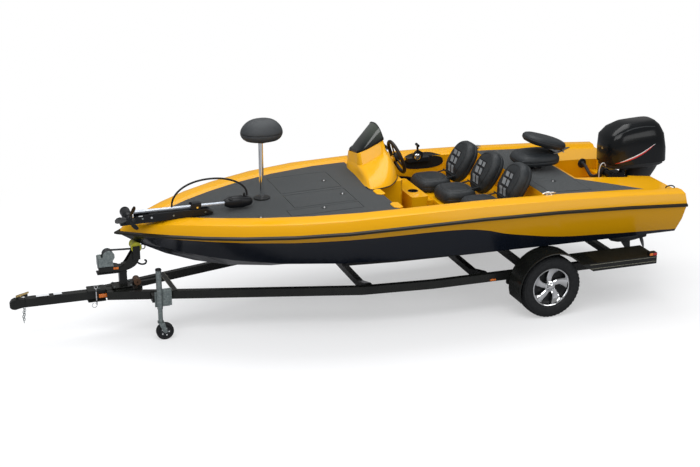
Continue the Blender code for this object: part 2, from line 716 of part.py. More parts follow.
def tongue_jack(root, zinc, rubber):
    turn = empty("jack_pivot", (JACK_X, JACK_Y, JACK_PIVOT_Z), root)
    tube = lathe([(JACK_TUBE_BOTTOM, JACK_LEG_RADIUS + 0.0005), (JACK_TUBE_BOTTOM, JACK_TUBE_RADIUS),
                  (JACK_TUBE_TOP, JACK_TUBE_RADIUS),
                  (JACK_TUBE_TOP, 0.003), (JACK_TUBE_TOP - 0.004, 0.003),
                  (JACK_TUBE_TOP - 0.004, JACK_LEG_RADIUS + 0.0005)],
                 (JACK_X, JACK_Y, 0.0), (0.0, 0.0, 1.0), 20)
    flange = box((JACK_X - 0.040, JACK_X + 0.095),
                 (JACK_Y + JACK_TUBE_RADIUS - 0.002, JACK_Y + JACK_TUBE_RADIUS + 0.008),
                 (JACK_PIVOT_Z - 0.075, JACK_PIVOT_Z + 0.070))
    solid("jack_tube", [tube, flange], zinc, turn)
    slide = empty("jack_slide", (JACK_X, JACK_Y, JACK_TUBE_BOTTOM), turn)
    leg_bottom = JACK_WHEEL_RADIUS * 2 + 0.012
    solid("jack_leg", [rod((JACK_X, JACK_Y, leg_bottom), (JACK_X, JACK_Y, JACK_TUBE_TOP - 0.140),
                           JACK_LEG_RADIUS, 16)], zinc, slide)
    swivel = empty("jack_caster", (JACK_X, JACK_Y, leg_bottom), slide)
    wheel = (JACK_X + JACK_TRAIL, JACK_Y, JACK_WHEEL_RADIUS)
    fork_top = leg_bottom - SEAT_GAP
    fork = [rod((JACK_X, JACK_Y, fork_top - 0.008), (JACK_X, JACK_Y, fork_top), 0.030, 16)]
    reach = JACK_WHEEL_WIDTH / 2 + 0.006
    for side in (-1, 1):
        y_range = sorted((JACK_Y + side * reach, JACK_Y + side * (reach + 0.004)))
        fork.append(plate([(JACK_X - 0.026, fork_top), (JACK_X + 0.030, fork_top),
                           (wheel[0] + 0.020, JACK_WHEEL_RADIUS),
                           (wheel[0], JACK_WHEEL_RADIUS - 0.016), (wheel[0] - 0.018, JACK_WHEEL_RADIUS)],
                           y_range))
    fork.append(box((JACK_X - 0.026, JACK_X + 0.030), (JACK_Y - reach - 0.004, JACK_Y + reach + 0.004),
                    (fork_top - 0.004, fork_top)))
    fork.append(rod((wheel[0], JACK_Y - reach - 0.006, wheel[2]),
                    (wheel[0], JACK_Y + reach + 0.006, wheel[2]), 0.007))
    solid("jack_fork", fork, zinc, swivel)
    spin = empty("jack_wheel_axis", wheel, swivel)
    half = JACK_WHEEL_WIDTH / 2
    solid("jack_wheel", [lathe([(-half * 0.8, 0.0075), (-half, 0.030), (-half * 0.7, 0.050), (-half, 0.066),
                                (-half * 0.6, JACK_WHEEL_RADIUS),
                                (half * 0.6, JACK_WHEEL_RADIUS), (half, 0.066), (half * 0.7, 0.050),
                                (half, 0.030), (half * 0.8, 0.0075)],
                               wheel, (0.0, 1.0, 0.0), 28)], rubber, spin)


def half_beam(share):
    """Half the breadth at the rub rail, a share of the length from the bow."""
    if share < BOW_SHARE:
        return HALF_BEAM * (1.0 - (1.0 - share / BOW_SHARE) ** BOW_POWER)
    return HALF_BEAM * (1.0 - STERN_NARROWING * ((share - BOW_SHARE) / (1.0 - BOW_SHARE)) ** 2)


def sheer(x):
    """Height of the rub rail's middle at x."""
    share = (x - BOW_X) / HULL_LENGTH
    return (SHEER_BOW * (1 - share) * (1 - 2 * share) + 4 * SHEER_MID * share * (1 - share)
            + SHEER_STERN * share * (2 * share - 1))


def bow_lift(x):
    """How much of the deck's height over the rub rail is left towards the bow's tip."""
    ahead = max(0.0, 1.0 - (x - BOW_X) / BOW_FLAT_LENGTH)
    return 1.0 - BOW_FLATTENING * ahead ** 2


def deck_z(x):
    return sheer(x) + DECK_UP * bow_lift(x)


def on_stations(x, height, out=0.0):
    """A height along the hull or deck as it is built, straight between its stations."""
    stations = [ring(share, out)[0] for share in STATIONS]
    for first, second in zip(stations, stations[1:]):
        if first <= x <= second:
            return height(first) + (height(second) - height(first)) * (x - first) / (second - first)
    return height(x)


def deck_rest(x, reach):
    """Height on the carpet that something flat takes, from reach ahead of x to reach behind."""
    stations = [ring(share, -DECK_EDGE_IN)[0] for share in STATIONS]
    covered = [x - reach, *(station for station in stations if abs(station - x) < reach), x + reach]
    return max(on_stations(spot, deck_z, -DECK_EDGE_IN) for spot in covered) + CARPET + SEAT_GAP


def keel_z(x):
    ahead = max(0.0, 1.0 - (x - BOW_X) / BOW_RISE_LENGTH)
    return KEEL_Z + (SHEER_BOW - KEEL_Z) * ahead ** KEEL_RISE_POWER


def chine(x):
    """(half breadth, height) of the chine at x."""
    share = (x - BOW_X) / HULL_LENGTH
    ahead = max(0.0, 1.0 - (x - BOW_X) / BOW_RISE_LENGTH)
    ratio = CHINE_SHARE - CHINE_BOW_LOSS * (1.0 - share) ** CHINE_BOW_POWER
    return half_beam(share) * ratio, CHINE_Z + (SHEER_BOW - CHINE_Z) * ahead ** CHINE_RISE_POWER


def hull_section(share):
    """Points (y, z) of the starboard half of the hull, from the keel pad to the rub rail."""
    x = BOW_X + share * HULL_LENGTH
    chine_y, chine_height = chine(x)
    beam, rail = half_beam(share), sheer(x) - SEAT_GAP / 2
    pad = min(PAD_HALF, chine_y * 0.35)
    flat = min(CHINE_FLAT, chine_y * 0.2)
    flare = 0.40 + 0.22 * share
    return [(pad, keel_z(x)), (chine_y - flat, chine_height - 0.006), (chine_y, chine_height),
            (chine_y + (beam - chine_y) * flare, (chine_height + rail) / 2), (beam, rail)]


def hull_z(x, y):
    """Height of the hull's bottom between the keel pad and the chine."""
    chine_y, chine_height = chine(x)
    inner = chine_y - CHINE_FLAT
    share = max(0.0, (y - PAD_HALF) / (inner - PAD_HALF))
    return keel_z(x) + share * (chine_height - 0.006 - keel_z(x))


def mirrored_loft(chains):
    """A closed solid through chains of starboard points, each met by its mirror image."""
    mesh_data = bmesh.new()
    starboard = [[mesh_data.verts.new(point) for point in chain] for chain in chains]
    port = [[mesh_data.verts.new(mirror_y(point)) for point in chain] for chain in chains]
    last = len(chains[0]) - 1
    for index in range(len(chains) - 1):
        for half in (starboard, port):
            for step in range(last):
                mesh_data.faces.new((half[index][step + 1], half[index][step], half[index + 1][step]))
                mesh_data.faces.new((half[index][step + 1], half[index + 1][step], half[index + 1][step + 1]))
        for step in (0, last):
            mesh_data.faces.new((starboard[index][step], starboard[index + 1][step], port[index + 1][step],
                                 port[index][step]))
    for step in range(last):
        mesh_data.faces.new((starboard[0][step], starboard[0][step + 1], port[0][step + 1], port[0][step]))
    mesh_data.faces.new(starboard[-1] + port[-1][::-1])
    return mesh_data


def ring(share, out):
    """(x, y) on the boat's outline moved outwards by out, a share of the way from its tip."""
    tip = BOW_X - out * TIP_SHIFT
    return tip + share * (BOW_X + HULL_LENGTH - tip), half_beam(share) * (HALF_BEAM + out) / HALF_BEAM


def ring_chain(share, steps):
    chain = []
    for out, up in steps:
        x, y = ring(share, out)
        chain.append((x, y, sheer(x) + up * bow_lift(x)))
    return chain


def clearances():
    """The cutters that open the cockpit, the splash well and the notch for the outboard."""
    high = SHEER_MID + 0.400
    cockpit = slab(rounded((COCKPIT_FRONT_X, COCKPIT_REAR_X), (-COCKPIT_HALF, COCKPIT_HALF), 0.060),
                   (FLOOR_Z, high))
    notch = slab([(NOTCH_FRONT_X, -NOTCH_HALF), (BOW_X + HULL_LENGTH + 0.100, -NOTCH_HALF - 0.060),
                  (BOW_X + HULL_LENGTH + 0.100, NOTCH_HALF + 0.060), (NOTCH_FRONT_X, NOTCH_HALF)],
                  (0.100, high))
    front = NOTCH_FRONT_X - TRANSOM_THICKNESS
    well = slab([(WELL_FRONT_X, -WELL_HALF * 0.86), (front, -WELL_HALF), (front, WELL_HALF),
                 (WELL_FRONT_X, WELL_HALF * 0.86)],
                (WELL_FLOOR_Z, high))
    lip = box((front - 0.010, NOTCH_FRONT_X + 0.010), (-WELL_HALF + 0.004, WELL_HALF - 0.004),
              (TRANSOM_TOP, high))
    return [cockpit, notch, well, lip]


def lid_region(name, grow, top, bottom):
    """A plate or pit of a hatch, following the deck's sheer; grow widens it all round."""
    x_from, x_to, hinge_y, free_y = LIDS[name]
    y0, y1 = sorted((hinge_y, free_y))
    loops = []
    steps = 4
    for step in range(steps + 1):
        x = x_from - grow + (x_to - x_from + 2 * grow) * step / steps
        loops.append([(x, y0 - grow, deck_z(x) + bottom), (x, y1 + grow, deck_z(x) + bottom),
                      (x, y1 + grow, deck_z(x) + top), (x, y0 - grow, deck_z(x) + top)])
    return loft(loops)


def lid_cuts(recess_only):
    high = CARPET + 0.100
    cuts = []
    for name in LIDS:
        cuts.append(lid_region(name, LID_GAP, high, -LID_THICKNESS - SEAT_GAP))
        if not recess_only:
            cuts.append(lid_region(name, -LEDGE, high, -LOCKER_DEPTH))
    return cuts


def boat(root, paint, rubber, carpet):
    hull_chains = [[(BOW_X + share * HULL_LENGTH, y, z) for y, z in hull_section(share)]
                   for share in STATIONS]
    pits = [lid_region(name, -LEDGE, 0.100, -LOCKER_DEPTH) for name in LIDS]
    solid("hull", [mirrored_loft(hull_chains)], paint, root, cuts=clearances() + pits)
    cap_steps = ((0.0, SEAT_GAP / 2), (0.0, RUB_HALF + 0.002), (-0.040, GUNWALE_CREST_UP * 0.84),
                 (-GUNWALE_CREST_IN, GUNWALE_CREST_UP),
                 (-DECK_EDGE_IN + 0.030, GUNWALE_CREST_UP - 0.006), (-DECK_EDGE_IN, DECK_UP))
    solid("deck", [mirrored_loft([ring_chain(share, cap_steps) for share in STATIONS])], paint, root,
          cuts=clearances() + lid_cuts(False))
    rub = [(2 * SEAT_GAP, -RUB_HALF), (2 * SEAT_GAP, RUB_HALF), (RUB_DEPTH, RUB_HALF * 0.5),
           (RUB_DEPTH, -RUB_HALF * 0.5)]
    solid("rub_rail", [rub_rail_strip(rub)], rubber, root)
    carpets(root, carpet)
    for name in LIDS:
        hatch(name, root, carpet)


def rub_rail_strip(section):
    """The bumper strip, along the port side, round the bow and along the starboard side."""
    loops = []
    for side, shares in ((-1, STATIONS[::-1]), (1, STATIONS)):
        for share in shares:
            loop = []
            for out, up in section:
                x, y = ring(share, out)
                loop.append((x, side * y, sheer(x) + up))
            loops.append(loop)
        if side < 0:
            loops.append([(ring(0.0, out)[0], 0.0, sheer(BOW_X) + up) for out, up in section])
    return loft(loops)


def carpets(root, carpet):
    out = -DECK_EDGE_IN - 0.004
    chains = [ring_chain(share, ((out, DECK_UP + SEAT_GAP), (out, DECK_UP + CARPET))) for share in STATIONS]
    keep_front = box((BOW_X - 0.1, COCKPIT_FRONT_X - 0.004), (-2.0, 2.0), (0.5, 2.0))
    cuts = lid_cuts(True)
    front = solid("carpet_front", [mirrored_loft(chains)], carpet, root, cuts=[])
    combine(front, finish("carpet_front_keep", keep_front, carpet, root), "INTERSECT")
    front_x, well_x, aft_x, wide = COCKPIT_REAR_X + 0.004, WELL_FRONT_X - 0.030, NOTCH_FRONT_X - 0.010, 2.0
    rear_edge = [(front_x, -wide), (aft_x, -wide), (aft_x, -0.850), (well_x, -WELL_HALF + 0.010),
                 (well_x, WELL_HALF - 0.010),
                 (aft_x, 0.850), (aft_x, wide), (front_x, wide)]
    rear = solid("carpet_rear", [mirrored_loft(chains)], carpet, root, cuts=[])
    combine(rear, finish("carpet_rear_keep", slab(rear_edge, (0.5, 2.0)), carpet, root), "INTERSECT")
    for number, name in enumerate(LIDS):
        owner = rear if LIDS[name][0] > COCKPIT_REAR_X else front
        combine(owner, finish(f"carpet_hole_{number}", lid_region(name, LID_GAP, 0.1, -0.1), carpet, root),
                "DIFFERENCE")


def hatch(name, root, carpet):
    """A hatch lid on a hinge along its outboard edge."""
    x_from, x_to, hinge_y, free_y = LIDS[name]
    middle = (x_from + x_to) / 2
    top = max(deck_z(x_from), deck_z(x_to), deck_z(middle)) + CARPET
    turn = empty(f"lid_{name}_hinge", (middle, hinge_y, top), root)
    solid(f"lid_{name}", [lid_region(name, 0.0, CARPET, -LID_THICKNESS)], carpet, turn)


def oval(half_across, half_up, power, count):
    """Points of a superellipse, from +across round through +up."""
    points = []
    for step in range(count):
        angle = 2 * math.pi * step / count
        cosine, sine = math.cos(angle), math.sin(angle)
        points.append((half_across * math.copysign(abs(cosine) ** (2 / power), cosine),
                       half_up * math.copysign(abs(sine) ** (2 / power), sine)))
    return points


def pad(centre, across, up, size, power=2.6, count=20):
    """A soft pad: size gives its half breadth, half height and thickness."""
    centre, across, up = Vector(centre), Vector(across).normalized(), Vector(up).normalized()
    through = across.cross(up)
    half_across, half_up, thickness = size
    loops = []
    for place_at, inset in ((-0.5, 0.045), (-0.28, 0.0), (0.28, 0.0), (0.5, 0.045)):
        outline = oval(half_across - inset, half_up - inset, power, count)
        loops.append([centre + across * a + up * b + through * thickness * place_at for a, b in outline])
    return loft(loops)


def helm_station(root, paint, glass, plastic):
    (x0, x1), (y0, y1) = CONSOLE_X, CONSOLE_Y
    tilt = math.radians(HELM_TILT)
    axis = Vector((math.cos(tilt), 0.0, math.sin(tilt)))
    centre = Vector(HELM)
    side = [(x0 - 0.010, deck_z(x0) + CARPET + 0.004), (x0 + 0.010, CONSOLE_FRONT_Z), (x1, CONSOLE_REAR_Z),
            (x1 + 0.080, 1.200),
            (x1 + 0.040, FLOOR_Z + SEAT_GAP), (x0, FLOOR_Z + SEAT_GAP)]
    loops = []
    for y, shrink in ((y0, 0.050), (y0 + 0.060, 0.0), (y1 - 0.060, 0.0), (y1, 0.050)):
        loops.append([(x + shrink * (1 if x < (x0 + x1) / 2 else -1), y, z - (shrink if z > 1.0 else 0.0))
                      for x, z in side])
    foot = centre - axis * 0.0303
    solid("console", [loft(loops), rod(foot - axis * 0.090, foot, 0.030, 16)], paint, root)
    middle = (y0 + y1) / 2 + 0.010
    sheet = 0.006
    outer, inner = [], []
    for share in (0.0, 0.30, (x1 - x0 - 0.030) / (SCREEN_TOP_X - x0 - 0.060), 1.0):
        half = 0.270 - 0.060 * share
        x = x0 + 0.030 + (SCREEN_TOP_X - x0 - 0.060) * share
        base = CONSOLE_FRONT_Z + SEAT_GAP + 0.002 + (CONSOLE_REAR_Z - CONSOLE_FRONT_Z) * min(1.0,
                (x - x0 - 0.010) / (x1 - x0 - 0.010))
        rise = max(0.004, (SCREEN_TOP_Z - CONSOLE_FRONT_Z) * share - (base - CONSOLE_FRONT_Z))
        outer.append([(x, middle + half * math.cos(a), base + rise * math.sin(a))
                      for a in (math.pi * n / 10 for n in range(11))])
        inner.append([(x + 0.004, middle + (half - sheet) * math.cos(a),
                       base + max(0.0005, rise - sheet) * math.sin(a))
                      for a in (math.pi * n / 10 for n in range(11))][::-1])
    solid("windscreen", [loft([a + b for a, b in zip(outer, inner)])], glass, root)
    turn = empty("helm_axis", centre, root)
    rim = lathe([(HELM_RIM * math.cos(2 * math.pi * n / 6),
                  HELM_RADIUS - HELM_RIM + HELM_RIM * math.sin(2 * math.pi * n / 6))
                 for n in range(6)], centre, axis, 28)
    across = Vector((0.0, 1.0, 0.0))
    up = axis.cross(across)
    spokes = []
    for angle in (90.0, 210.0, 330.0):
        out = across * math.cos(math.radians(angle)) + up * math.sin(math.radians(angle))
        spokes.append(bar([centre - axis * 0.012 + out * 0.020, centre + out * (HELM_RADIUS - HELM_RIM)],
                          0.034, 0.008, up=axis))
    hub = rod(centre - axis * 0.030, centre + axis * 0.008, 0.045, 16)
    solid("steering_wheel", [rim, hub, *spokes], plastic, turn)


def cockpit(root, paint, vinyl, plastic):
    box_shape = slab(rounded(SEAT_BOX_X, (-COCKPIT_HALF + 0.040, COCKPIT_HALF - 0.040), 0.050),
                     (FLOOR_Z + SEAT_GAP, SEAT_BOX_TOP))
    step = slab(rounded(HELM_STEP_X, HELM_STEP_Y, 0.030), (FLOOR_Z + SEAT_GAP, HELM_STEP_TOP))
    link = box((HELM_STEP_X[1] - 0.014, SEAT_BOX_X[0] + 0.030),
               (HELM_STEP_Y[0] + 0.040, HELM_STEP_Y[1] - 0.040),
               (FLOOR_Z + SEAT_GAP, SEAT_BOX_TOP - 0.006))
    hole = rod((*CUP_HOLE, HELM_STEP_TOP - CUP_DEPTH), (*CUP_HOLE, HELM_STEP_TOP + CUP_DEPTH), CUP_RADIUS, 20)
    solid("seat_box", [box_shape, step, link], paint, root, cuts=[hole])
    lever_x = sum(CONTROL_X) / 2
    sill, inner = deck_z(lever_x) - 0.036, COCKPIT_HALF - CONTROL_DEPTH
    control = [slab(rounded(CONTROL_X, (inner, COCKPIT_HALF - SEAT_GAP), 0.012), (sill, sill + 0.040))]
    control.append(rod((lever_x, inner - 0.003, sill + 0.070), (lever_x, inner + 0.040, sill + 0.070), 0.045,
                       16))
    control.append(box((lever_x - 0.050, lever_x + 0.030), (inner + 0.015, inner + 0.057),
                       (sill + 0.010, sill + 0.085)))
    control.append(rod((lever_x - 0.010, inner + 0.005, sill + 0.070),
                       (lever_x - 0.020, inner - 0.003, sill + 0.180), 0.011))
    control.append(rod((lever_x - 0.020, inner - 0.035, sill + 0.178),
                       (lever_x - 0.020, inner + 0.030, sill + 0.182), 0.014))
    solid("throttle_control", control, plastic, root)
    for label, (x, y) in SEATS.items():
        base = SEAT_BOX_TOP + SEAT_GAP
        top = base + SEAT_THICKNESS
        cushion = pad((x - SEAT_DEPTH / 2, y, base + SEAT_THICKNESS / 2), (0.0, 1.0, 0.0), (1.0, 0.0, 0.0),
                      (SEAT_WIDTH / 2, SEAT_DEPTH / 2, SEAT_THICKNESS), 3.2)
        hinge = Vector((x + HINGE_ROD * 1.8, y, top + HINGE_ROD * 1.5))
        bar_shape = rod(hinge - Vector((0.0, SEAT_WIDTH * 0.36, 0.0)),
                        hinge + Vector((0.0, SEAT_WIDTH * 0.36, 0.0)), HINGE_ROD, 10)
        lugs = hinge_straps(hinge, (x - 0.080, top))
        solid(f"seat_{label}", [cushion, bar_shape, *lugs], vinyl, root)
        turn = empty(f"seat_back_{label}_hinge", hinge, root)
        back = seat_back(hinge, BACK_TILT, (SEAT_WIDTH / 2 - 0.005, BACK_HEIGHT / 2, BACK_THICKNESS),
                         BACK_DROP)
        solid(f"seat_back_{label}", [back], vinyl, turn)


def hinge_straps(hinge, foot):
    """Two flat straps from a cushion's top at foot, given as (x, z), to the hinge rod."""
    x, z = foot
    outline = [(x, z - 0.012), (x, z + 0.004), (hinge.x, hinge.z + 0.005), (hinge.x, hinge.z - 0.005)]
    return [plate(outline, (hinge.y + at - 0.012, hinge.y + at + 0.012)) for at in (-0.110, 0.110)]


def seat_back(hinge, tilt, size, drop):
    """A back rest whose front face turns on the hinge rod; tilt is its lean from upright."""
    lean = math.radians(tilt)
    rise = Vector((math.sin(lean), 0.0, math.cos(lean)))
    behind = Vector((math.cos(lean), 0.0, -math.sin(lean)))
    centre = hinge + rise * (size[1] - drop) + behind * (HINGE_ROD + SEAT_GAP + size[2] / 2)
    return pad(centre, (0.0, 1.0, 0.0), rise, size, 2.4)


def casting_seats(root, vinyl, chrome, plastic):
    base = deck_rest(POLE_X, 0.075)
    foot = [rod((POLE_X, 0.0, base), (POLE_X, 0.0, base + 0.008), 0.075, 24),
            rod((POLE_X, 0.0, base + 0.004), (POLE_X, 0.0, BUTT_SEAT_Z), POLE_RADIUS, 16)]
    solid("seat_pole", foot, chrome, root)
    turn = empty("butt_seat_axis", (POLE_X, 0.0, BUTT_SEAT_Z), root)
    loops = []
    for share, size in ((0.0, 0.55), (0.10, 0.86), (0.35, 1.0), (0.60, 0.92), (0.85, 0.66), (1.0, 0.34)):
        z = BUTT_SEAT_Z + SEAT_GAP + BUTT_SEAT_HEIGHT * share
        loops.append([(POLE_X + a + 0.015 * share, b, z)
                      for a, b in oval(BUTT_SEAT_RADIUS * size, BUTT_SEAT_RADIUS * 0.86 * size, 2.4, 24)])
    solid("butt_seat", [loft(loops)], vinyl, turn)
    x, y = REAR_SEAT_X, REAR_SEAT_Y
    base = deck_rest(x, 0.075)
    seat_z = base + REAR_POST_HEIGHT
    solid("rear_seat_post", [rod((x, y, base), (x, y, base + 0.008), 0.075, 24),
                             rod((x, y, base + 0.004), (x, y, seat_z - SEAT_GAP), 0.036, 16)], chrome, root)
    turn = empty("rear_seat_axis", (x, y, seat_z), root)
    thick = REAR_SEAT_THICKNESS
    cushion = pad((x, y, seat_z + thick / 2), (0.0, 1.0, 0.0), (1.0, 0.0, 0.0),
                  (REAR_SEAT_WIDTH / 2, REAR_SEAT_HALF, thick), 3.2)
    hinge = Vector((x + REAR_SEAT_HALF + HINGE_ROD * 1.8, y, seat_z + thick + HINGE_ROD * 1.5))
    reach = Vector((0.0, REAR_SEAT_WIDTH * 0.36, 0.0))
    solid("rear_seat", [cushion, rod(hinge - reach, hinge + reach, HINGE_ROD, 10),
                        *hinge_straps(hinge, (x + REAR_SEAT_HALF - 0.080, seat_z + thick))], vinyl, turn)
    fold = empty("rear_seat_back_hinge", hinge, turn)
    back = seat_back(hinge, REAR_BACK_TILT, (REAR_SEAT_WIDTH / 2 - 0.020, REAR_BACK_HEIGHT / 2, 0.085),
                     BACK_DROP)
    solid("rear_seat_back", [back], vinyl, fold)


def blade(centre, axis, out, radius, root_radius, width, thickness):
    """One propeller blade: an ear-shaped loft from the hub outwards, twisted by its pitch."""
    centre, axis, out = Vector(centre), Vector(axis).normalized(), Vector(out).normalized()
    swing = axis.cross(out)
    loops = []
    for share, size, turn, rake in BLADE_SHAPE:
        angle = math.radians(turn)
        chord = swing * math.cos(angle) + axis * math.sin(angle)
        across = axis * math.cos(angle) - swing * math.sin(angle)
        at = centre + out * (root_radius + (radius - root_radius) * share) + chord * rake * width
        half, thick = width * size / 2, thickness * (1.0 - 0.55 * share) / 2
        loops.append([at - chord * half, at - chord * half * 0.4 - across * thick,
                      at + chord * half * 0.5 - across * thick,
                      at + chord * half, at + chord * half * 0.5 + across * thick,
                      at - chord * half * 0.4 + across * thick])
    return loft(loops)


def propeller(name, centre, axis, radius, hub, length, blades, paint, parent, width):
    centre, axis = Vector(centre), Vector(axis).normalized()
    turn = empty(f"{name}_axis", centre, parent)
    side = axis.orthogonal().normalized()
    other = axis.cross(side)
    shapes = [rod(centre - axis * length / 2, centre + axis * length / 2, hub, 18, hub * 0.72)]
    for step in range(blades):
        angle = 2 * math.pi * step / blades + math.radians(75.0)
        shapes.append(blade(centre, axis, side * math.cos(angle) + other * math.sin(angle), radius,
                            hub * 0.60, width, hub * 0.24))
    solid(name, shapes, paint, turn)


def outboard(root, paint, plastic, metal):
    low, high, jaw = 0.700, TRANSOM_TOP + 0.012, WELL_FLOOR_Z + 0.002
    inner = NOTCH_FRONT_X - TRANSOM_THICKNESS - 0.001
    clamp = []
    for side in (-1, 1):
        y_range = sorted((side * 0.085, side * 0.125))
        clamp.append(plate([(inner - 0.030, jaw), (inner - 0.030, high + 0.030),
                            (TILT_X - 0.030, TILT_Z + 0.034), (TILT_X + 0.034, TILT_Z + 0.034),
                            (TILT_X + 0.090, TILT_Z - 0.060), (NOTCH_FRONT_X + 0.045, low),
                            (NOTCH_FRONT_X + SEAT_GAP, low), (NOTCH_FRONT_X + SEAT_GAP, high),
                            (inner - SEAT_GAP, high), (inner - SEAT_GAP, jaw)], y_range))
    clamp.append(rod((TILT_X, -0.135, TILT_Z), (TILT_X, 0.135, TILT_Z), 0.013))
    solid("transom_bracket", clamp, metal, root)
    tilt = empty("outboard_tilt", (TILT_X, 0.0, TILT_Z), root)
    knuckle = lathe([(-0.078, 0.014), (-0.078, 0.030), (0.078, 0.030), (0.078, 0.014)], (TILT_X, 0.0, TILT_Z),
                    (0.0, 1.0, 0.0), 16)
    body = plate([(TILT_X + 0.018, TILT_Z + 0.030), (STEER_X - 0.030, TILT_Z + 0.030),
                  (STEER_X + 0.020, TILT_Z - 0.020), (STEER_X + 0.020, low + 0.020),
                  (STEER_X - 0.060, low + 0.020), (TILT_X + 0.110, TILT_Z - 0.060),
                  (TILT_X + 0.020, TILT_Z - 0.012)], (-0.060, 0.060))
    solid("swivel_bracket", [knuckle, body], metal, tilt,
          cuts=[rod((STEER_X, 0.0, low - 0.1), (STEER_X, 0.0, TILT_Z + 0.1), bore(STEER_TUBE, 20), 20)])
    steer = empty("outboard_steer", (STEER_X, 0.0, TILT_Z), tilt)
    tube = rod((STEER_X, 0.0, low - 0.030), (STEER_X, 0.0, PAN_BOTTOM + 0.010), STEER_TUBE, 20)
    lower = [tube]
    lower.append(loft([[(STEER_X + aft + half_x * a, half_y * b, z) for a, b in oval(1.0, 1.0, 2.0, 16)]
                       for z, half_x, half_y, aft in LEG_ROWS]))
    lower.append(slab([(1.270, 0.0), (1.330, 0.075), (1.560, 0.085), (1.590, 0.0), (1.560, -0.085),
                       (1.330, -0.075)], (0.500, 0.508)))
    gear = loft([[(x, radius * a, PROP_Z + radius * b) for a, b in oval(1.0, 1.0, 2.0, 16)] for x, radius in
                 ((1.170, 0.010), (1.200, 0.034), (1.270, 0.052), (1.400, GEARCASE_RADIUS),
                  (GEARCASE_REAR_X, 0.046))])
    lower.append(gear)
    lower.append(plate([(1.300, PROP_Z - 0.030), (1.420, PROP_Z - 0.030), (1.430, 0.170), (1.400, 0.160)],
                       (-0.008, 0.008)))
    lower.append(bar([(STEER_X, 0.0, low - 0.015), (1.400, 0.0, low - 0.015)], 0.070, 0.030))
    lower.append(bar([(STEER_X, 0.0, TILT_Z + 0.062), (1.400, 0.0, TILT_Z + 0.062)], 0.080, 0.030))
    pan = loft([[(x + half_x * a, half_y * b, z) for a, b in oval(1.0, 1.0, 3.0, 20)]
                for z, half_x, half_y, x in
                ((PAN_BOTTOM, COWL_HALF - 0.040, 0.150, COWL_X + 0.010),
                 (PAN_BOTTOM + 0.020, COWL_HALF - 0.008, 0.180, COWL_X),
                 (COWL_BOTTOM - SEAT_GAP, COWL_HALF - 0.004, 0.188, COWL_X))])
    lower.append(box((COWL_X, TAB_X), (-0.030, 0.030), (PAN_BOTTOM + 0.004, PAN_BOTTOM + 0.018)))
    lower.append(pan)
    solid("outboard_leg", lower, plastic, steer)
    cowl = []
    for share, length, breadth, shift, slope in COWL_ROWS:
        half_x, x, z = COWL_HALF * length, COWL_X + shift, COWL_BOTTOM + COWL_HEIGHT * share
        cowl.append([(x + half_x * a, COWL_HALF_WIDTH * breadth * b, z + slope * half_x * a)
                     for a, b in oval(1.0, 1.0, 4.2, 24)])
    solid("outboard_cowl", [loft(cowl)], paint, steer, smooth=22.0)
    propeller("propeller", (GEARCASE_REAR_X + SEAT_GAP + PROP_LENGTH / 2, 0.0, PROP_Z), (1.0, 0.0, 0.0),
              PROP_RADIUS, 0.044, PROP_LENGTH, 3, metal, steer, 0.130)


def trolling_z(up):
    """A height on the bow mount, up from the carpet under it, with the motor's head clear of the deck."""
    return max(deck_z(TROLL_DECK_X), deck_z(TROLL_HEAD_X) - TROLL_RISE) + CARPET + up


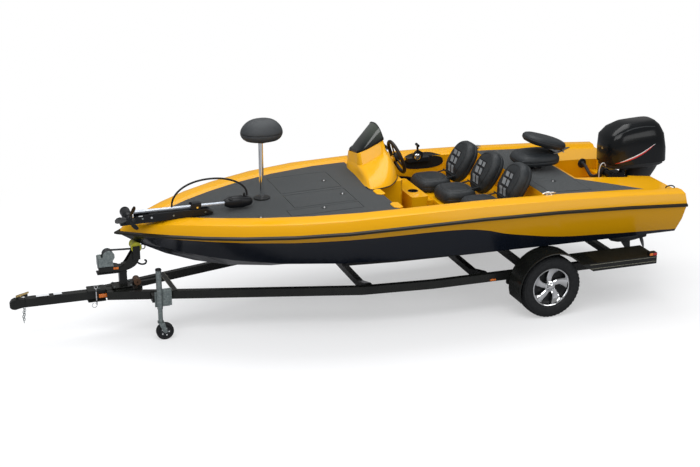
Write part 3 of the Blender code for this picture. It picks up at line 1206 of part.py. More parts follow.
def trolling_motor(root, plastic, chrome, rubber):
    """The bow mount with its folding arm; the motor lies along the deck in the arm's cheeks."""
    y, shaft_z = TROLL_Y, trolling_z(TROLL_SHAFT_UP)
    pivot_z, arm_z = trolling_z(TROLL_PIVOT_UP), trolling_z(TROLL_ARM_UP)
    half = TROLL_BASE_WIDTH / 2
    base = bar([(TROLL_BASE_X[0], y, trolling_z(TROLL_BASE_UP[0])),
                (TROLL_PIVOT_X, y, trolling_z(TROLL_BASE_UP[1])),
                (TROLL_BASE_X[1], y, trolling_z(TROLL_BASE_UP[2]))], TROLL_BASE_WIDTH, TROLL_BASE_HEIGHT)
    base_top = trolling_z(TROLL_BASE_UP[1]) + TROLL_BASE_HEIGHT / 2
    feet = [box((x - TROLL_FOOT, x + TROLL_FOOT), (y - half / 2, y + half / 2),
                (deck_rest(x, TROLL_FOOT), trolling_z(TROLL_BASE_UP[2])))
            for x in TROLL_FEET_X]
    cheek, boss_half = half - 0.010, half - 0.010 - SEAT_GAP
    lugs = [box((TROLL_PIVOT_X - 0.030, TROLL_PIVOT_X + 0.030), sorted((y + side * cheek, y + side * half)),
                (base_top - TROLL_BASE_HEIGHT, pivot_z + 0.020)) for side in (-1, 1)]
    solid("trolling_base", [base, *feet, *lugs], plastic, root)
    turn = empty("trolling_arm_axis", (TROLL_PIVOT_X, y, pivot_z), root)
    grip, grip_width = TROLL_COLLAR_HALF + TROLL_COLLAR_GAP, 0.010
    arm = bar([(TROLL_PIVOT_X, y, pivot_z + 0.002), (TROLL_PIVOT_X + 0.080, y, arm_z),
               (TROLL_COLLAR_X - 0.045, y, arm_z)],
              2 * grip + 0.008, TROLL_BASE_HEIGHT)
    boss = rod((TROLL_PIVOT_X, y - boss_half, pivot_z), (TROLL_PIVOT_X, y + boss_half, pivot_z), 0.017)
    cheeks = [box((TROLL_COLLAR_X - 0.060, TROLL_COLLAR_X + 0.030),
                  sorted((y + side * grip, y + side * (grip + grip_width))),
                  (arm_z - 0.008, shaft_z + 0.030)) for side in (-1, 1)]
    solid("trolling_arm", [arm, boss, *cheeks], plastic, turn)
    tip = empty("trolling_collar_axis", (TROLL_COLLAR_X, y, shaft_z), turn)
    collar = box((TROLL_COLLAR_X - 0.040, TROLL_COLLAR_X + 0.040),
                 (y - TROLL_COLLAR_HALF, y + TROLL_COLLAR_HALF),
                 (shaft_z - 0.026, shaft_z + 0.034))
    trunnion = rod((TROLL_COLLAR_X, y - grip + SEAT_GAP, shaft_z),
                   (TROLL_COLLAR_X, y + grip - SEAT_GAP, shaft_z), 0.012)
    shaft = rod((TROLL_POD_X, y, shaft_z), (TROLL_HEAD_X - 0.100, y, shaft_z), TROLL_SHAFT_RADIUS, 12)
    tail = TROLL_POD_LENGTH * 0.60
    pod = lathe([(-tail, 0.006), (-tail + 0.005, 0.034), (-tail + 0.040, TROLL_POD_RADIUS),
                 (0.050, TROLL_POD_RADIUS),
                 (0.080, 0.036), (TROLL_POD_LENGTH - tail, 0.006)], (TROLL_POD_X - 0.010, y, shaft_z),
                 (0.0, 1.0, 0.0), 16)
    head = loft([[(TROLL_HEAD_X + x, y + size * a, shaft_z + TROLL_HEAD_LIFT + size * b)
                  for a, b in oval(1.0, 1.0, 2.6, 14)]
                 for x, size in TROLL_HEAD])
    solid("trolling_motor", [shaft, collar, trunnion, pod, head], plastic, tip)
    hub_length = 0.048
    propeller("trolling_prop", (TROLL_POD_X - 0.010, y - tail - SEAT_GAP - hub_length / 2, shaft_z),
              (0.0, -1.0, 0.0),
              TROLL_PROP_RADIUS, 0.028, hub_length, 3, plastic, tip, 0.060)


def main():
    clear_scene()
    root = empty("boat_and_trailer", (0.0, 0.0, 0.0))
    black = material("black_paint", (0.012, 0.013, 0.014), 0.35)
    gelcoat = material("yellow_gelcoat", (0.80, 0.40, 0.01), 0.20)
    zinc = material("galvanised_steel", (0.45, 0.48, 0.48), 0.45, 0.9)
    chrome = material("chrome", (0.85, 0.86, 0.87), 0.08, 1.0)
    rubber = material("black_rubber", (0.015, 0.015, 0.016), 0.80)
    carpet = material("grey_carpet", (0.075, 0.080, 0.085), 0.95)
    vinyl = material("grey_vinyl", (0.045, 0.050, 0.055), 0.60)
    plastic = material("black_plastic", (0.015, 0.016, 0.018), 0.40)
    urethane = material("yellow_urethane", (0.55, 0.48, 0.02), 0.45)
    timber = material("carpeted_timber", (0.030, 0.030, 0.032), 0.95)
    cowl_paint = material("cowl_paint", (0.012, 0.013, 0.015), 0.15)
    glass = material("smoked_acrylic", (0.020, 0.026, 0.024), 0.10)
    trailer_frame(root, black)
    folding_tongue(root, black, zinc)
    bunks(root, timber)
    axle_and_springs(root, black)
    wheels(root, rubber, chrome)
    fenders(root, black)
    winch_stand(root, black, zinc, urethane)
    tongue_jack(root, zinc, rubber)
    boat(root, gelcoat, rubber, carpet)
    helm_station(root, gelcoat, glass, plastic)
    cockpit(root, gelcoat, vinyl, plastic)
    casting_seats(root, vinyl, chrome, plastic)
    outboard(root, cowl_paint, plastic, plastic)
    trolling_motor(root, plastic, chrome, rubber)
    root.location.x = -(COUPLER_TIP_X + TAB_X) / 2


main()
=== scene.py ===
"""Looks of the bass boat on its trailer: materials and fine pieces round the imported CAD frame.

Metres, +X towards the stern, +Y to starboard, +Z up. X is measured from the trailer's axle in
the tables below, and at() moves it to the frame's origin under the middle of the length.
"""

import json
import math

import bmesh
import bpy
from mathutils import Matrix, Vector


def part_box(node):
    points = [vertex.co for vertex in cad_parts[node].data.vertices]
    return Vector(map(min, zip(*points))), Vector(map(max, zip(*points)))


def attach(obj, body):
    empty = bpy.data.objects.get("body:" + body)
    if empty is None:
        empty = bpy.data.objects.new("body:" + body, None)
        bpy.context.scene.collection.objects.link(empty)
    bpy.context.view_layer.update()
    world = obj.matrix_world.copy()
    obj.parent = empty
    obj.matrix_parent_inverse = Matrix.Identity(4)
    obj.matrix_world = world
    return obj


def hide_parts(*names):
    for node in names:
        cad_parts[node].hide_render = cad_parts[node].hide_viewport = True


AXLE_X = 1.576
HULL_BODY = "boat_and_trailer"
PORT, STARBOARD = -1, 1
SIDES = (("port", PORT), ("starboard", STARBOARD))
X_AXIS = Vector((1.0, 0.0, 0.0))
Y_AXIS = Vector((0.0, 1.0, 0.0))
UP = Vector((0.0, 0.0, 1.0))
# Faces that meet at more than this angle count as an edge to be bevelled
EDGE_ANGLE = math.radians(35.0)
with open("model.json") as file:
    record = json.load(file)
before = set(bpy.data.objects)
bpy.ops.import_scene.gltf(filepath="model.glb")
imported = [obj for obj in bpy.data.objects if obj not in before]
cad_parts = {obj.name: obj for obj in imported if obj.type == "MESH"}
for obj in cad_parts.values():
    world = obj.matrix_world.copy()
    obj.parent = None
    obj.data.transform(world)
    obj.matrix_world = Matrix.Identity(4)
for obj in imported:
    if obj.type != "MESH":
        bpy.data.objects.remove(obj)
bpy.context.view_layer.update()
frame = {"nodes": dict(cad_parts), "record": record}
nodes = frame["nodes"]


def at(x, y=0.0, z=0.0):
    """A point given from the axle, in the frame's own coordinates."""
    return Vector((x + AXLE_X, y, z))


# Materials

def shader_of(made):
    return made.node_tree.nodes["Principled BSDF"]


def add_node(made, kind, **values):
    node = made.node_tree.nodes.new(kind)
    for name, value in values.items():
        setattr(node, name, value)
    return node


def join(made, source, target):
    made.node_tree.links.new(source, target)


def object_coords(made):
    return add_node(made, "ShaderNodeTexCoord").outputs["Object"]


def noise_node(made, scale, detail=3.0, roughness=0.5):
    node = add_node(made, "ShaderNodeTexNoise")
    node.inputs["Scale"].default_value = scale
    node.inputs["Detail"].default_value = detail
    node.inputs["Roughness"].default_value = roughness
    join(made, object_coords(made), node.inputs["Vector"])
    return node.outputs["Fac"]


def ramp(made, source, low, high):
    node = add_node(made, "ShaderNodeMapRange")
    node.inputs["From Min"].default_value = low
    node.inputs["From Max"].default_value = high
    join(made, source, node.inputs["Value"])
    return node.outputs["Result"]


def blend_colour(made, factor, first, second):
    node = add_node(made, "ShaderNodeMix", data_type="RGBA")
    join(made, factor, node.inputs["Factor"])
    for socket, value in ((node.inputs["A"], first), (node.inputs["B"], second)):
        if isinstance(value, tuple):
            socket.default_value = (*value, 1.0)
        else:
            join(made, value, socket)
    return node.outputs["Result"]


def surface(name, colour, roughness, metallic=0.0, coat=0.0, second=None, mottle=(6.0, 0.35, 0.65),
            grain=None, rough_spread=0.0, sheen=0.0, shine=0.5):
    """A procedural material. second and mottle vary its colour, grain is (scale, strength, depth) of
    a fine bump, and rough_spread varies the roughness by noise."""
    made = bpy.data.materials.new(name)
    made.use_nodes = True
    shader = shader_of(made)
    shader.inputs["Base Color"].default_value = (*colour, 1.0)
    shader.inputs["Roughness"].default_value = roughness
    shader.inputs["Metallic"].default_value = metallic
    shader.inputs["Coat Weight"].default_value = coat
    shader.inputs["Coat Roughness"].default_value = 0.05
    shader.inputs["Sheen Weight"].default_value = sheen
    shader.inputs["Specular IOR Level"].default_value = shine
    if second:
        scale, low, high = mottle
        factor = ramp(made, noise_node(made, scale), low, high)
        join(made, blend_colour(made, factor, colour, second), shader.inputs["Base Color"])
    if rough_spread:
        node = add_node(made, "ShaderNodeMapRange")
        node.inputs["To Min"].default_value = max(0.02, roughness - rough_spread)
        node.inputs["To Max"].default_value = roughness + rough_spread
        join(made, noise_node(made, 14.0), node.inputs["Value"])
        join(made, node.outputs["Result"], shader.inputs["Roughness"])
    if grain:
        scale, strength, depth = grain
        bump = add_node(made, "ShaderNodeBump")
        bump.inputs["Strength"].default_value = strength
        bump.inputs["Distance"].default_value = depth
        join(made, noise_node(made, scale, 4.0, 0.6), bump.inputs["Height"])
        join(made, bump.outputs["Normal"], shader.inputs["Normal"])
    return made


# Height of the paint line that parts yellow from black on the topsides, from the axle
PAINT_LINE = ((-3.95, 0.944), (-3.23, 0.968), (-2.39, 0.972), (-1.60, 0.986), (-0.93, 0.982),
              (-0.70, 0.946), (-0.46, 0.876), (-0.20, 0.822), (0.01, 0.784), (0.26, 0.755), (0.52, 0.741),
              (0.85, 0.722), (1.19, 0.705), (1.42, 0.700))
YELLOW = (0.780, 0.375, 0.003)
HULL_BLACK = (0.006, 0.009, 0.016)
# The colour curve holds heights over this one, and the two colours blend over twice the second height
PAINT_BASE = 0.4
PAINT_BLEND = 0.002


def hull_paint():
    """Yellow topsides over a black bottom, parted by a smooth wave."""
    made = surface("topsides", YELLOW, 0.20, coat=0.10, rough_spread=0.03, shine=0.25)
    shader = shader_of(made)
    split = add_node(made, "ShaderNodeSeparateXYZ")
    join(made, object_coords(made), split.inputs["Vector"])
    first, last = PAINT_LINE[0][0], PAINT_LINE[-1][0]
    along = ramp(made, split.outputs["X"], first + AXLE_X, last + AXLE_X)
    curve = add_node(made, "ShaderNodeFloatCurve")
    points = curve.mapping.curves[0].points
    for number, (x, z) in enumerate(PAINT_LINE):
        place = ((x - first) / (last - first), z - PAINT_BASE)
        if number in (0, len(PAINT_LINE) - 1):
            points[0 if number == 0 else 1].location = place
        else:
            points.new(*place)
    curve.mapping.update()
    join(made, along, curve.inputs["Value"])
    above = add_node(made, "ShaderNodeMath", operation="SUBTRACT")
    join(made, split.outputs["Z"], above.inputs[0])
    join(made, curve.outputs["Value"], above.inputs[1])
    mask = ramp(made, above.outputs["Value"], PAINT_BASE - PAINT_BLEND, PAINT_BASE + PAINT_BLEND)
    join(made, blend_colour(made, mask, HULL_BLACK, YELLOW), shader.inputs["Base Color"])
    return made


YELLOW_GEL = surface("yellow_gelcoat_gloss", YELLOW, 0.20, coat=0.10, rough_spread=0.03, shine=0.25)
HULL_PAINT = hull_paint()
CARPET = surface("deck_carpet", (0.036, 0.041, 0.043), 0.95, shine=0.25, second=(0.021, 0.024, 0.025),
                 mottle=(420.0, 0.40, 0.62), grain=(900.0, 0.55, 0.004), sheen=0.15)
VINYL = surface("seat_vinyl", (0.024, 0.028, 0.031), 0.50, shine=0.35, second=(0.016, 0.019, 0.022),
                mottle=(40.0, 0.3, 0.7), grain=(520.0, 0.30, 0.002), rough_spread=0.06)
VINYL_BLACK = surface("seat_inset_vinyl", (0.006, 0.007, 0.009), 0.45, shine=0.35,
                      grain=(520.0, 0.30, 0.002), rough_spread=0.05)
VINYL_LIGHT = surface("seat_bar_vinyl", (0.20, 0.215, 0.225), 0.50, second=(0.15, 0.16, 0.17),
                      grain=(520.0, 0.25, 0.002))
FRAME_PAINT = surface("trailer_paint", (0.008, 0.0085, 0.008), 0.28, coat=0.08,
                      second=(0.012, 0.013, 0.011), rough_spread=0.06, shine=0.35,
                      grain=(160.0, 0.06, 0.002))
ZINC = surface("galvanised", (0.36, 0.41, 0.40), 0.40, metallic=0.85, second=(0.24, 0.28, 0.28),
               mottle=(55.0, 0.38, 0.60), grain=(90.0, 0.12, 0.002), rough_spread=0.10)
CHROME = surface("chrome_plate", (0.86, 0.87, 0.88), 0.07, metallic=1.0, rough_spread=0.02,
                 grain=(30.0, 0.02, 0.001))
RUBBER = surface("tyre_rubber", (0.010, 0.011, 0.012), 0.72, shine=0.35, second=(0.017, 0.018, 0.019),
                 mottle=(30.0, 0.35, 0.7), grain=(300.0, 0.15, 0.002), rough_spread=0.08)
BUMPER = surface("bumper_vinyl", (0.016, 0.014, 0.008), 0.38, shine=0.35, rough_spread=0.05,
                 grain=(60.0, 0.08, 0.002))
PLASTIC = surface("moulded_black", (0.007, 0.008, 0.010), 0.38, shine=0.35, grain=(340.0, 0.10, 0.001),
                  rough_spread=0.06)
# Dark grey plastic of the lower pan; also the painted highlight along the cowl's crease
GREY_PLASTIC_AND_HIGHLIGHT = surface("pan_grey_and_crease_highlight", (0.020, 0.022, 0.024), 0.42, shine=0.35, grain=(260.0, 0.10, 0.001),
                       rough_spread=0.06)
COWL_PAINT = surface("cowl_paint", (0.004, 0.005, 0.006), 0.20, coat=0.10, rough_spread=0.03, shine=0.30)
SHAFT = surface("shaft_composite", (0.62, 0.65, 0.70), 0.22, metallic=0.6, second=(0.50, 0.54, 0.60),
                mottle=(3.0, 0.4, 0.6))
ROLLER = surface("roller_urethane", (0.62, 0.60, 0.03), 0.40, second=(0.45, 0.42, 0.03),
                 mottle=(25.0, 0.35, 0.7), grain=(90.0, 0.12, 0.002))
BUNK = surface("bunk_carpet", (0.016, 0.017, 0.018), 0.95, second=(0.026, 0.027, 0.028),
               mottle=(420.0, 0.40, 0.62), grain=(800.0, 0.5, 0.003))
SCREEN = surface("smoked_screen", (0.020, 0.028, 0.024), 0.06, coat=0.8, second=(0.030, 0.040, 0.034),
                 mottle=(2.0, 0.4, 0.6))
CAD_LOOKS = {
    HULL_PAINT: ("hull",),
    YELLOW_GEL: ("deck", "console", "seat_box"),
    CARPET: ("carpet_front", "carpet_rear", "lid_front_port", "lid_front_starboard", "lid_rear_port",
             "lid_rod_port"),
    VINYL: ("butt_seat", "rear_seat", "rear_seat_back", "seat_port", "seat_middle", "seat_starboard",
            "seat_back_port", "seat_back_middle", "seat_back_starboard"),
    FRAME_PAINT: ("rail_port", "rail_starboard", "tongue", "tongue_stub", "cross_member_1",
                  "cross_member_2", "cross_member_3", "coupler", "axle", "fender_port",
                  "fender_starboard", "winch_stand"),
    ZINC: ("winch", "jack_tube", "jack_leg", "jack_fork"),
    CHROME: ("wheel_port", "wheel_starboard", "seat_pole", "rear_seat_post"),
    RUBBER: ("tyre_port", "tyre_starboard", "jack_wheel"),
    BUMPER: ("rub_rail",),
    PLASTIC: ("steering_wheel", "throttle_control", "transom_bracket", "swivel_bracket", "trolling_arm",
              "trolling_base", "trolling_prop", "propeller", "trolling_motor"),
    GREY_PLASTIC_AND_HIGHLIGHT: ("outboard_leg",),
    COWL_PAINT: ("outboard_cowl",),
    ROLLER: ("bow_roller",),
    BUNK: ("bunk_port", "bunk_starboard"),
    SCREEN: ("windscreen",),
}
for look, names in CAD_LOOKS.items():
    for name in names:
        nodes[name].data.materials.clear()
        nodes[name].data.materials.append(look)


def soften(width, names, segments=2):
    """Rounds the edges of CAD nodes that the real product has rounded."""
    for name in names:
        bevel = nodes[name].modifiers.new("soften", "BEVEL")
        bevel.width = width
        bevel.segments = segments
        bevel.limit_method = "ANGLE"
        bevel.angle_limit = EDGE_ANGLE
        bevel.use_clamp_overlap = True


# Mesh helpers

def piece(name, mesh_data, look, body, smooth=35.0, bevel=0.0, segments=2):
    """A mesh piece that rides on a body, with its bevel applied as a modifier."""
    bmesh.ops.recalc_face_normals(mesh_data, faces=mesh_data.faces)
    mesh = bpy.data.meshes.new(name)
    mesh_data.to_mesh(mesh)
    mesh_data.free()
    mesh.shade_smooth()
    mesh.set_sharp_from_angle(angle=math.radians(smooth))
    mesh.materials.append(look)
    made = bpy.data.objects.new(name, mesh)
    bpy.context.scene.collection.objects.link(made)
    if bevel:
        modifier = made.modifiers.new("bevel", "BEVEL")
        modifier.width, modifier.segments = bevel, segments
        modifier.limit_method, modifier.angle_limit = "ANGLE", EDGE_ANGLE
    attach(made, body)
    return made


def merged(shapes):
    """One bmesh from several."""
    whole = bmesh.new()
    for shape in shapes:
        mesh = bpy.data.meshes.new("part")
        shape.to_mesh(mesh)
        shape.free()
        whole.from_mesh(mesh)
        bpy.data.meshes.remove(mesh)
    return whole


def loft(loops, closed=True):
    mesh_data = bmesh.new()
    rings = [[mesh_data.verts.new(point) for point in loop] for loop in loops]
    count = len(rings[0])
    pairs = list(zip(rings, rings[1:])) + ([] if closed else [(rings[-1], rings[0])])
    for first, second in pairs:
        for step in range(count):
            after = (step + 1) % count
            mesh_data.faces.new((first[step], first[after], second[after], second[step]))
    if closed:
        mesh_data.faces.new(rings[0][::-1])
        mesh_data.faces.new(rings[-1])
    return mesh_data


def box(x_range, y_range, z_range):
    (x0, x1), (y0, y1), (z0, z1) = x_range, y_range, z_range
    return loft([[at(x, y0, z0), at(x, y1, z0), at(x, y1, z1), at(x, y0, z1)] for x in (x0, x1)])


def plate(outline, y_range):
    """An outline of (x, z) points from the axle, extruded along Y."""
    return loft([[at(x, y, z) for x, z in outline] for y in y_range])


def slab(outline, z_range):
    """An outline of (x, y) points from the axle, extruded along Z."""
    return loft([[at(x, y, z) for x, y in outline] for z in z_range])


def round_frame(axis):
    axis = Vector(axis).normalized()
    side = axis.orthogonal().normalized()
    return axis, side, axis.cross(side)


def turns(steps):
    """The angles of a full turn in equal steps."""
    return [2 * math.pi * step / steps for step in range(steps)]


def circle(centre, radius, axis, steps):
    """Points round an axis."""
    _, side, other = round_frame(axis)
    return [centre + (side * math.cos(a) + other * math.sin(a)) * radius for a in turns(steps)]


def lathe(profile, centre, axis, segments=32):
    """Turns a closed profile of (along, radius) points round an axis."""
    axis, side, other = round_frame(axis)
    loops = []
    for angle in turns(segments):
        out = side * math.cos(angle) + other * math.sin(angle)
        loops.append([centre + axis * along + out * radius for along, radius in profile])
    return loft(loops, closed=False)


def rod(start, end, radius, segments=16, end_radius=None):
    return loft([circle(start, radius, end - start, segments),
                 circle(end, end_radius or radius, end - start, segments)])


def catmull(a, b, c, d, t):
    """The point at t between b and c, with a before them and d after."""
    return 0.5 * (b * 2 + (c - a) * t + (a * 2 - b * 5 + c * 4 - d) * t * t
                  + (b * 3 - a - c * 3 + d) * t * t * t)


def curve_points(points, per_span=6):
    """A smooth path through the points."""
    points = [Vector(point) for point in points]
    ends = [points[0] * 2 - points[1], *points, points[-1] * 2 - points[-2]]
    path = [catmull(*ends[index:index + 4], step / per_span)
            for index in range(len(points) - 1) for step in range(per_span)]
    return path + [points[-1]]


def curve_at(points, per_span):
    """A smooth path through points given from the axle."""
    return curve_points([at(*point) for point in points], per_span)


def ring_at(centre, radius, wire, axis, steps=24, segments=8):
    """A closed round ring of wire."""
    return tube(circle(centre, radius, axis, steps), wire, segments, loop=True)


def tube(path, radius, segments=10, loop=False):
    """A round tube along a path, with its frame carried from point to point."""
    tangents = []
    count = len(path)
    for index in range(count):
        before = path[(index - 1) % count] if loop else path[max(0, index - 1)]
        after = path[(index + 1) % count] if loop else path[min(count - 1, index + 1)]
        tangents.append((after - before).normalized())
    side = tangents[0].orthogonal().normalized()
    loops = []
    for index, (point, tangent) in enumerate(zip(path, tangents)):
        side = (side - tangent * side.dot(tangent)).normalized()
        other = tangent.cross(side)
        size = radius(index / (count - 1)) if callable(radius) else radius
        loops.append([point + (side * math.cos(a) + other * math.sin(a)) * size for a in turns(segments)])
    return loft(loops, closed=not loop)


def strip(path, width, thickness, across):
    """A flat strap along a path; across is its direction of breadth."""
    across = Vector(across).normalized()
    loops = []
    for index, point in enumerate(path):
        tangent = (path[min(len(path) - 1, index + 1)] - path[max(0, index - 1)]).normalized()
        normal = tangent.cross(across).normalized()
        half, thick = across * width / 2, normal * thickness / 2
        loops.append([point - half - thick, point + half - thick, point + half + thick,
                      point - half + thick])
    return loft(loops)


def side_range(side, inner, outer):
    """The stretch between two distances on one side of the middle plane."""
    return sorted((side * inner, side * outer))


def oval(half_across, half_up, power=2.6, count=32):
    points = []
    for angle in turns(count):
        cosine, sine = math.cos(angle), math.sin(angle)
        points.append((half_across * math.copysign(abs(cosine) ** (2 / power), cosine),
                       half_up * math.copysign(abs(sine) ** (2 / power), sine)))
    return points


def arc(centre, radius, start, end, steps):
    points = []
    for step in range(steps + 1):
        angle = math.radians(start + (end - start) * step / steps)
        points.append((centre[0] + radius * math.cos(angle), centre[1] + radius * math.sin(angle)))
    return points


def smooth_nodes(names, angle=30.0):
    """Shades CAD nodes smoothly across edges flatter than the angle, with no change to their own points."""
    for name in names:
        node = nodes[name]
        weld = node.modifiers.new("weld", "WELD")
        weld.merge_threshold = 0.00005
        node.data.shade_smooth()
        split = node.modifiers.new("split", "EDGE_SPLIT")
        split.split_angle = math.radians(angle)


# Stage, lights and camera

CAMERA_AT = (-3.9417, -11.42586, 4.89567)
CAMERA_TURN = (math.radians(70.795), 0.0, math.radians(-18.632))
CAMERA_LENS = 68.02
SKY_COLOUR = (0.93, 0.96, 1.0)
SKY_STRENGTH = 0.58
REFLECTED_STRENGTH = 0.30
FLOOR_HALF = 40.0
FLOOR_SEEN = (0.95, 0.95, 0.96)
FLOOR_UNSEEN = (0.34, 0.34, 0.35)
# Distances from the middle over which the floor fades to the white background
FLOOR_FADE = (2.4, 5.6)
# Least share of plain white that the camera sees in the floor, so that the shadow stays soft
FLOOR_LIFT = 0.45


def lamp(name, at_point, size, power, aim=(0.0, 0.0, 0.5)):
    light = bpy.data.lights.new(name, "AREA")
    light.shape = "RECTANGLE"
    light.size, light.size_y = size
    light.energy = power
    made = bpy.data.objects.new(name, light)
    bpy.context.scene.collection.objects.link(made)
    made.location = at_point
    made.rotation_euler = (Vector(aim) - Vector(at_point)).to_track_quat("-Z", "Y").to_euler()


def add_background(tree, strength, colour=(0.8, 0.8, 0.8)):
    node = tree.nodes.new("ShaderNodeBackground")
    node.inputs["Strength"].default_value = strength
    node.inputs["Color"].default_value = (*colour, 1.0)
    return node.outputs[0]


def add_mix(tree, factor, first, second):
    node = tree.nodes.new("ShaderNodeMixShader")
    for socket, source in zip(node.inputs, (factor, first, second)):
        tree.links.new(source, socket)
    return node.outputs[0]


def add_camera(scene):
    camera = bpy.data.objects.new("camera", bpy.data.cameras.new("camera"))
    scene.collection.objects.link(camera)
    camera.data.lens = CAMERA_LENS
    camera.data.sensor_width = 36.0
    camera.data.clip_end = 200.0
    camera.location = CAMERA_AT
    camera.rotation_euler = CAMERA_TURN
    scene.camera = camera


def add_world(scene):
    """White to the camera, a weak sky to matt surfaces and a weaker one to reflections."""
    world = bpy.data.worlds.new("studio")
    scene.world = world
    world.use_nodes = True
    tree = world.node_tree
    tree.nodes.clear()
    out = tree.nodes.new("ShaderNodeOutputWorld")
    ray = tree.nodes.new("ShaderNodeLightPath")
    matt = add_background(tree, SKY_STRENGTH, SKY_COLOUR)
    shiny = add_background(tree, REFLECTED_STRENGTH)
    white = add_background(tree, 1.0, (1.0, 1.0, 1.0))
    unseen = add_mix(tree, ray.outputs["Is Glossy Ray"], matt, shiny)
    tree.links.new(add_mix(tree, ray.outputs["Is Camera Ray"], unseen, white), out.inputs["Surface"])


def floor_look():
    """Pale to the camera and darker to other rays, fading to white away from the middle."""
    made = bpy.data.materials.new("pale_floor")
    made.use_nodes = True
    shader = shader_of(made)
    shader.inputs["Roughness"].default_value = 0.9
    shader.inputs["Specular IOR Level"].default_value = 0.1
    seen = add_node(made, "ShaderNodeLightPath").outputs["Is Camera Ray"]
    join(made, blend_colour(made, seen, FLOOR_UNSEEN, FLOOR_SEEN), shader.inputs["Base Color"])
    spot = add_node(made, "ShaderNodeVectorMath", operation="LENGTH")
    join(made, object_coords(made), spot.inputs[0])
    far = add_node(made, "ShaderNodeMapRange")
    far.inputs["From Min"].default_value, far.inputs["From Max"].default_value = FLOOR_FADE
    far.inputs["To Min"].default_value = FLOOR_LIFT
    join(made, spot.outputs["Value"], far.inputs["Value"])
    share = add_node(made, "ShaderNodeMath", operation="MULTIPLY")
    join(made, far.outputs["Result"], share.inputs[0])
    join(made, seen, share.inputs[1])
    glow = add_node(made, "ShaderNodeEmission")
    fade = add_mix(made.node_tree, share.outputs["Value"], shader.outputs["BSDF"], glow.outputs["Emission"])
    join(made, fade, made.node_tree.nodes["Material Output"].inputs["Surface"])
    return made


def stage():
    scene = bpy.context.scene
    scene.view_settings.view_transform = "Standard"
    add_camera(scene)
    add_world(scene)
    floor = bpy.data.objects.new("floor", bpy.data.meshes.new("floor"))
    corners = [(x * FLOOR_HALF, y * FLOOR_HALF, 0) for x, y in ((-1, -1), (1, -1), (1, 1), (-1, 1))]
    floor.data.from_pydata(corners, [], [(0, 1, 2, 3)])
    scene.collection.objects.link(floor)
    floor.data.materials.append(floor_look())
    lamp("key", (-3.0, -5.5, 8.5), (9.0, 6.0), 530.0)
    lamp("fill", (6.0, -8.0, 4.0), (6.0, 4.0), 130.0)
    lamp("top", (0.5, 2.5, 8.0), (9.0, 5.0), 400.0)


stage()

# Pieces

LAMP_RED = surface("lamp_red", (0.55, 0.015, 0.008), 0.15, coat=0.6, second=(0.40, 0.010, 0.006),
                   mottle=(90.0, 0.4, 0.6))
LAMP_AMBER = surface("lamp_amber", (0.80, 0.20, 0.01), 0.15, coat=0.6, second=(0.62, 0.13, 0.008),
                     mottle=(90.0, 0.4, 0.6))
WHITE_TAPE = surface("white_tape", (0.78, 0.79, 0.80), 0.45, second=(0.66, 0.67, 0.68),
                     mottle=(60.0, 0.4, 0.6))
BRASSY = surface("yellow_zinc", (0.62, 0.44, 0.17), 0.30, metallic=0.85, second=(0.50, 0.36, 0.16),
                 mottle=(70.0, 0.4, 0.6), rough_spread=0.08)
# Black castings; also the near-black disc of painted shade behind the wheels' spokes
BLACK_CAST_AND_SHADE = surface("black_casting_and_wheel_shade", (0.008, 0.009, 0.010), 0.42, shine=0.35, grain=(120.0, 0.20, 0.002),
                     rough_spread=0.08)
STRAP = surface("webbing", (0.018, 0.019, 0.021), 0.85, second=(0.035, 0.036, 0.040),
                mottle=(600.0, 0.4, 0.6), grain=(900.0, 0.4, 0.002))
HOSE = surface("hose_rubber", (0.009, 0.009, 0.010), 0.55, shine=0.35, grain=(200.0, 0.12, 0.002),
               rough_spread=0.06)
CABLE_GREY = surface("grey_cable", (0.52, 0.52, 0.50), 0.50, grain=(200.0, 0.10, 0.001))
ALLOY_GREY = surface("hinge_alloy", (0.52, 0.55, 0.58), 0.36, metallic=0.8, second=(0.42, 0.45, 0.48),
                     mottle=(60.0, 0.4, 0.6))
SWOOSH_RED = surface("stripe_red", (0.62, 0.014, 0.010), 0.16, coat=0.6, rough_spread=0.03)
SWOOSH_WHITE = surface("stripe_white", (0.80, 0.80, 0.81), 0.16, coat=0.6, rough_spread=0.03)
ROLLER_BROWN = surface("roller_brown", (0.12, 0.055, 0.025), 0.55, second=(0.08, 0.04, 0.02),
                       grain=(120.0, 0.2, 0.002))
PEBBLE = surface("pebble_vinyl", (0.045, 0.050, 0.054), 0.55, second=(0.030, 0.034, 0.038),
                 mottle=(160.0, 0.35, 0.7), grain=(300.0, 0.6, 0.004), rough_spread=0.06)
# Near-black painted shade standing in for the inside of the throttle's recess
RECESS_SHADE = surface("painted_recess_shade", (0.004, 0.004, 0.004), 0.9, grain=(200.0, 0.1, 0.001))
LOOSE_BODY = {name: body for body, members in frame["record"]["behaviour"]["bodies"].items()
              for name in members}


def body_of(node):
    return LOOSE_BODY[node]


def top_of(names, x, y, high=2.2):
    """Height of the highest CAD surface of the named nodes at (x, y) from the axle."""
    best = 0.0
    for name in names:
        hit, point, _, _ = nodes[name].ray_cast(at(x, y, high), Vector((0.0, 0.0, -1.0)))
        if hit:
            best = max(best, point.z)
    return best


DECKS = ("deck", "carpet_front", "carpet_rear", "lid_front_port", "lid_front_starboard", "lid_rear_port",
         "lid_rod_port")
smooth_nodes(("hull", "deck", "rub_rail", "console", "bunk_port", "bunk_starboard", "fender_port",
              "fender_starboard", "seat_pole", "rear_seat_post", "steering_wheel", "windscreen",
              "jack_tube", "jack_leg", "propeller", "trolling_prop", "seat_box", "throttle_control",
              "bow_roller", "carpet_rear", "carpet_front"))
smooth_nodes(("outboard_cowl", "outboard_leg", "trolling_motor", "jack_wheel"), 48.0)
soften(0.004, ("tongue", "tongue_stub", "rail_port", "rail_starboard", "cross_member_1", "cross_member_2",
               "cross_member_3"))
soften(0.003, ("jack_fork", "winch", "coupler", "trolling_base", "trolling_arm", "steering_wheel"))

